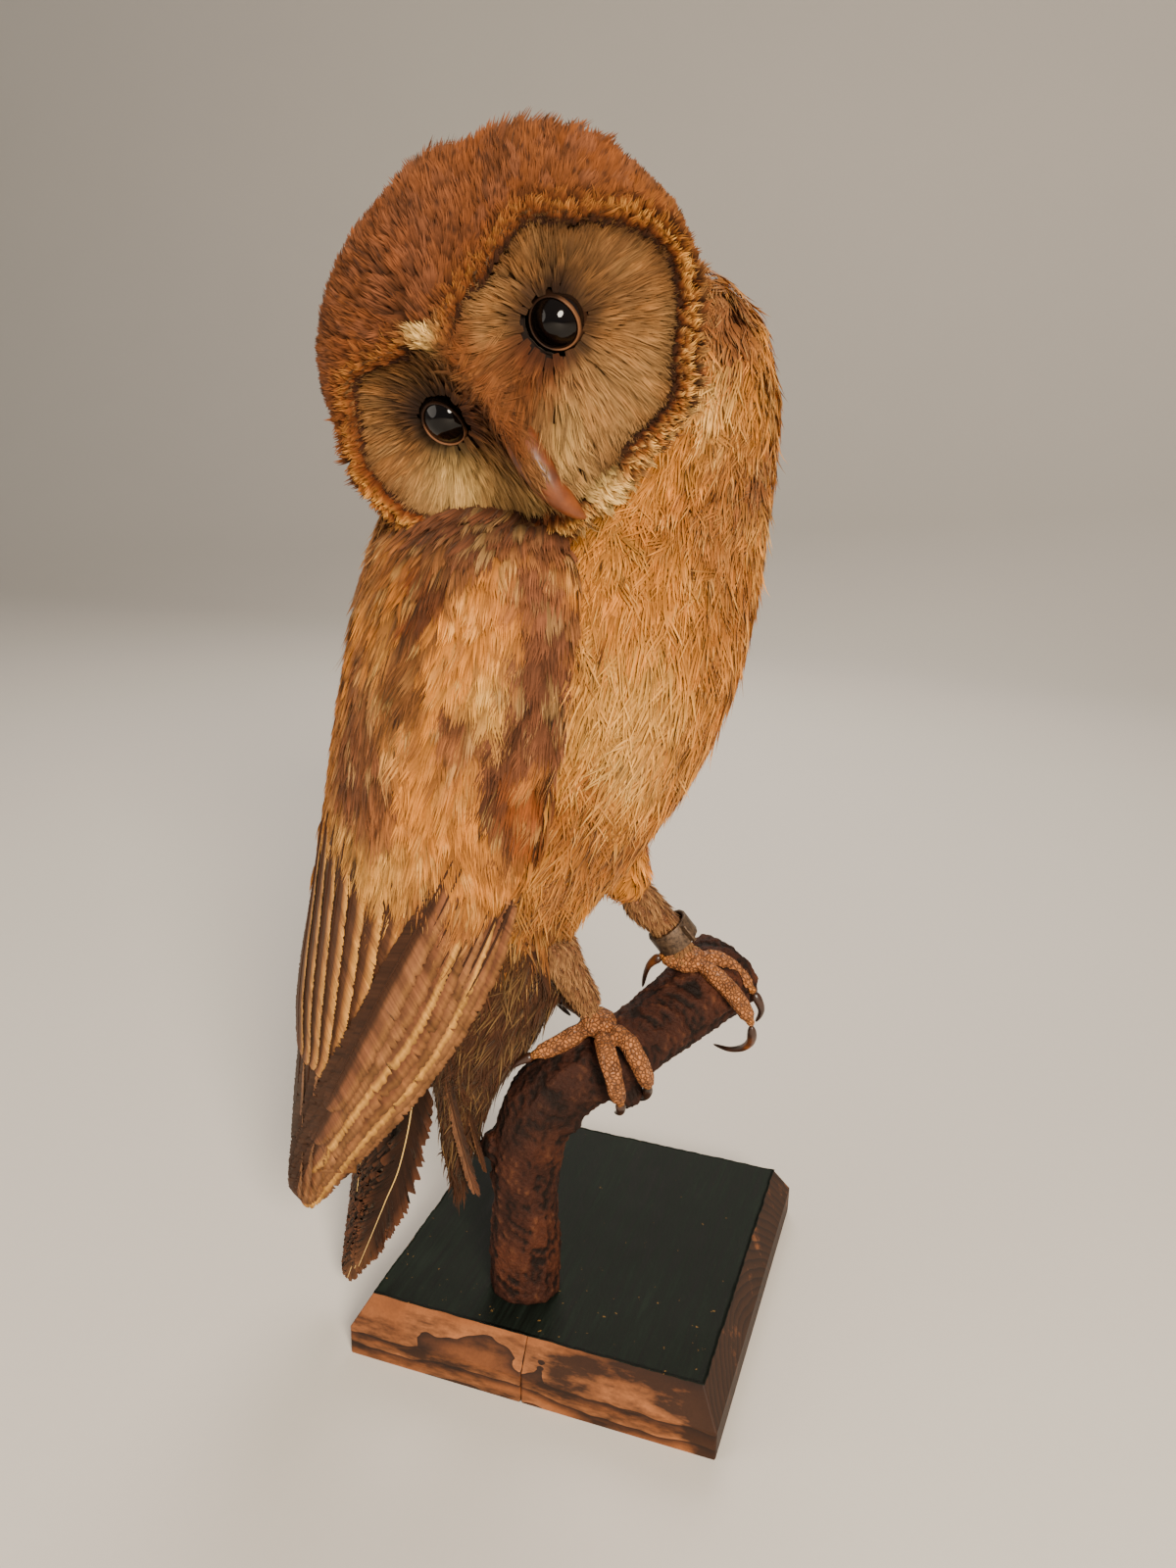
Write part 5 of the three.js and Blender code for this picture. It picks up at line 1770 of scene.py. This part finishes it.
def woodMaterial():
    material, tree, shader = newMaterial("board_wood")
    spot = addNode(tree, "ShaderNodeTexCoord")
    wander = addNode(tree, "ShaderNodeTexNoise", Scale=22.0, Detail=3.0)
    join(tree, spot.outputs["Object"], wander.inputs["Vector"])
    shift = addNode(tree, "ShaderNodeMapping", vector_type="POINT")
    shift.inputs["Location"].default_value = (0.0, 0.012, 0.016)
    shift.inputs["Scale"].default_value = (0.10, 1.0, 1.0)
    join(tree, spot.outputs["Object"], shift.inputs["Vector"])
    nudge = addNode(tree, "ShaderNodeVectorMath", operation="MULTIPLY_ADD")
    join(tree, wander.outputs["Color"], nudge.inputs[0])
    nudge.inputs[1].default_value = (0.003, 0.010, 0.010)
    join(tree, shift.outputs["Vector"], nudge.inputs[2])
    rings = addNode(tree, "ShaderNodeTexWave", wave_type="RINGS", rings_direction="X", wave_profile="SAW",
                    Scale=105.0, Distortion=2.0, Detail=3.0)
    join(tree, nudge.outputs["Vector"], rings.inputs["Vector"])
    colour = rampOf(tree, [(0.0, "#9A6038"), (0.5, "#824C28"), (0.85, "#54301B"), (1.0, "#2C190E")],
                    rings.outputs["Fac"])
    drawn = addNode(tree, "ShaderNodeMapping", vector_type="POINT")
    drawn.inputs["Scale"].default_value = (0.30, 1.0, 1.0)
    join(tree, spot.outputs["Object"], drawn.inputs["Vector"])
    scorch = addNode(tree, "ShaderNodeTexNoise", Scale=95.0, Detail=5.0, Roughness=0.65)
    join(tree, drawn.outputs["Vector"], scorch.inputs["Vector"])
    # painted shade: the right bevel, past x of 52 mm, is darkened on top of the scorch streaks
    where = addNode(tree, "ShaderNodeSeparateXYZ")
    join(tree, spot.outputs["Object"], where.inputs["Vector"])
    side = addNode(tree, "ShaderNodeMapRange")
    for title, value in (("From Min", 0.052), ("From Max", 0.06), ("To Min", 0.0), ("To Max", 0.16)):
        side.inputs[title].default_value = value
    join(tree, where.outputs["X"], side.inputs["Value"])
    amount = addNode(tree, "ShaderNodeMath", operation="ADD")
    join(tree, scorch.outputs["Fac"], amount.inputs[0])
    join(tree, side.outputs["Result"], amount.inputs[1])
    # scorch streaks and the painted shade on the right bevel together set the dark mix
    scorchAndShade = rampOf(tree, [(0.42, 0.0), (0.58, 0.92)], amount.outputs[0])
    colour = mixColours(tree, "MIX", scorchAndShade, colour, "#1D100A")
    tone = placeGroup(tree, mottle, Fine=1100.0, Broad=150.0, Contrast=0.5)
    join(tree, colour, tone.inputs["Colour"])
    join(tree, tone.outputs["Colour"], shader.inputs["Base Color"])
    shader.inputs["Roughness"].default_value = 0.6
    shader.inputs["Specular IOR Level"].default_value = 0.25
    bumpInto(tree, shader, rings.outputs["Fac"], 0.22, 0.0004)
    return material


def paintMaterial():
    material, tree, shader = newMaterial("board_paint")
    spot = addNode(tree, "ShaderNodeTexCoord")
    stretch = addNode(tree, "ShaderNodeMapping", vector_type="POINT")
    stretch.inputs["Scale"].default_value = (1.0, 0.08, 1.0)
    join(tree, spot.outputs["Object"], stretch.inputs["Vector"])
    grain = addNode(tree, "ShaderNodeTexNoise", Scale=520.0, Detail=4.0, Roughness=0.6)
    join(tree, stretch.outputs["Vector"], grain.inputs["Vector"])
    colour = rampOf(tree, [(0.3, "#0A0D0A"), (0.55, "#131A15"), (0.75, "#1C241E")], grain.outputs["Fac"])
    chip = addNode(tree, "ShaderNodeTexNoise", Scale=330.0, Detail=3.0, Roughness=0.7)
    join(tree, spot.outputs["Object"], chip.inputs["Vector"])
    where = addNode(tree, "ShaderNodeSeparateXYZ")
    join(tree, spot.outputs["Object"], where.inputs["Vector"])
    front = addNode(tree, "ShaderNodeMapRange")
    for title, value in (("From Min", 0.01), ("From Max", -0.06), ("To Min", 0.0), ("To Max", 0.045)):
        front.inputs[title].default_value = value
    join(tree, where.outputs["Y"], front.inputs["Value"])
    amount = addNode(tree, "ShaderNodeMath", operation="ADD")
    join(tree, chip.outputs["Fac"], amount.inputs[0])
    join(tree, front.outputs["Result"], amount.inputs[1])
    bare = rampOf(tree, [(0.715, 0.0), (0.745, 1.0)], amount.outputs[0])
    colour = mixColours(tree, "MIX", bare, colour, "#7A5A2C")
    tone = placeGroup(tree, mottle, Fine=1300.0, Broad=60.0, Contrast=0.5)
    join(tree, colour, tone.inputs["Colour"])
    join(tree, tone.outputs["Colour"], shader.inputs["Base Color"])
    rough = addNode(tree, "ShaderNodeMapRange")
    rough.inputs["To Min"].default_value = 0.5
    rough.inputs["To Max"].default_value = 0.8
    shader.inputs["Specular IOR Level"].default_value = 0.12
    join(tree, grain.outputs["Fac"], rough.inputs["Value"])
    join(tree, rough.outputs["Result"], shader.inputs["Roughness"])
    bumpInto(tree, shader, grain.outputs["Fac"], 0.4, 0.0004)
    return material


def makeBoard():
    wood = woodMaterial()
    for name in ("base_left_board", "base_right_board"):
        refine(name, wood, rounds=0, bevel=0.5)
        nodes[name].data.polygons.foreach_set("use_smooth", np.zeros(len(nodes[name].data.polygons), bool))
    half = boardFacts["side"] / 2 - boardFacts["bevel"] - 0.1
    count = 90
    line = np.linspace(-half, half, count)
    x, y = np.meshgrid(line, line, indexing="ij")
    flat = np.stack([x, y, 0 * x], -1).reshape(-1, 3) * mm
    wobble = 0.22 * ripple(flat, 0.006, 97)
    shrink = 1 + (wobble / half)
    top = flat * shrink[:, None]
    top[:, 2] = (boardFacts["height"] + boardFacts["paint"] * (0.7 + 0.3 * ripple(flat, 0.02, 101))) * mm
    bottom = flat * (shrink[:, None] + 0.004)
    bottom[:, 2] = (boardFacts["height"] - 0.05) * mm
    upper = gridFaces(count, count, closed=False)
    number = np.arange(count * count).reshape(count, count)
    rim = np.concatenate([number[:-1, 0], number[-1, :-1], number[:0:-1, -1], number[0, :0:-1]])
    nextRim = np.roll(rim, -1)
    offset = count * count
    skirt = np.stack([rim, rim + offset, nextRim + offset, nextRim], 1)
    corner = (number[:-1, :-1], number[1:, :-1], number[1:, 1:], number[:-1, 1:])
    upper = np.stack(corner, -1).reshape(-1, 4)
    faces = np.concatenate([upper, skirt[:, ::-1], (upper + offset)[:, ::-1]])
    film = meshFrom("paint_film", np.concatenate([top, bottom]), faces.ravel(), [4] * len(faces))
    finishPiece(film, paintMaterial(), "board")


makeBoard()
print("board finished")


# ---------- the end ----------

bpy.data.objects.remove(guide)
bpy.data.objects.remove(legs)
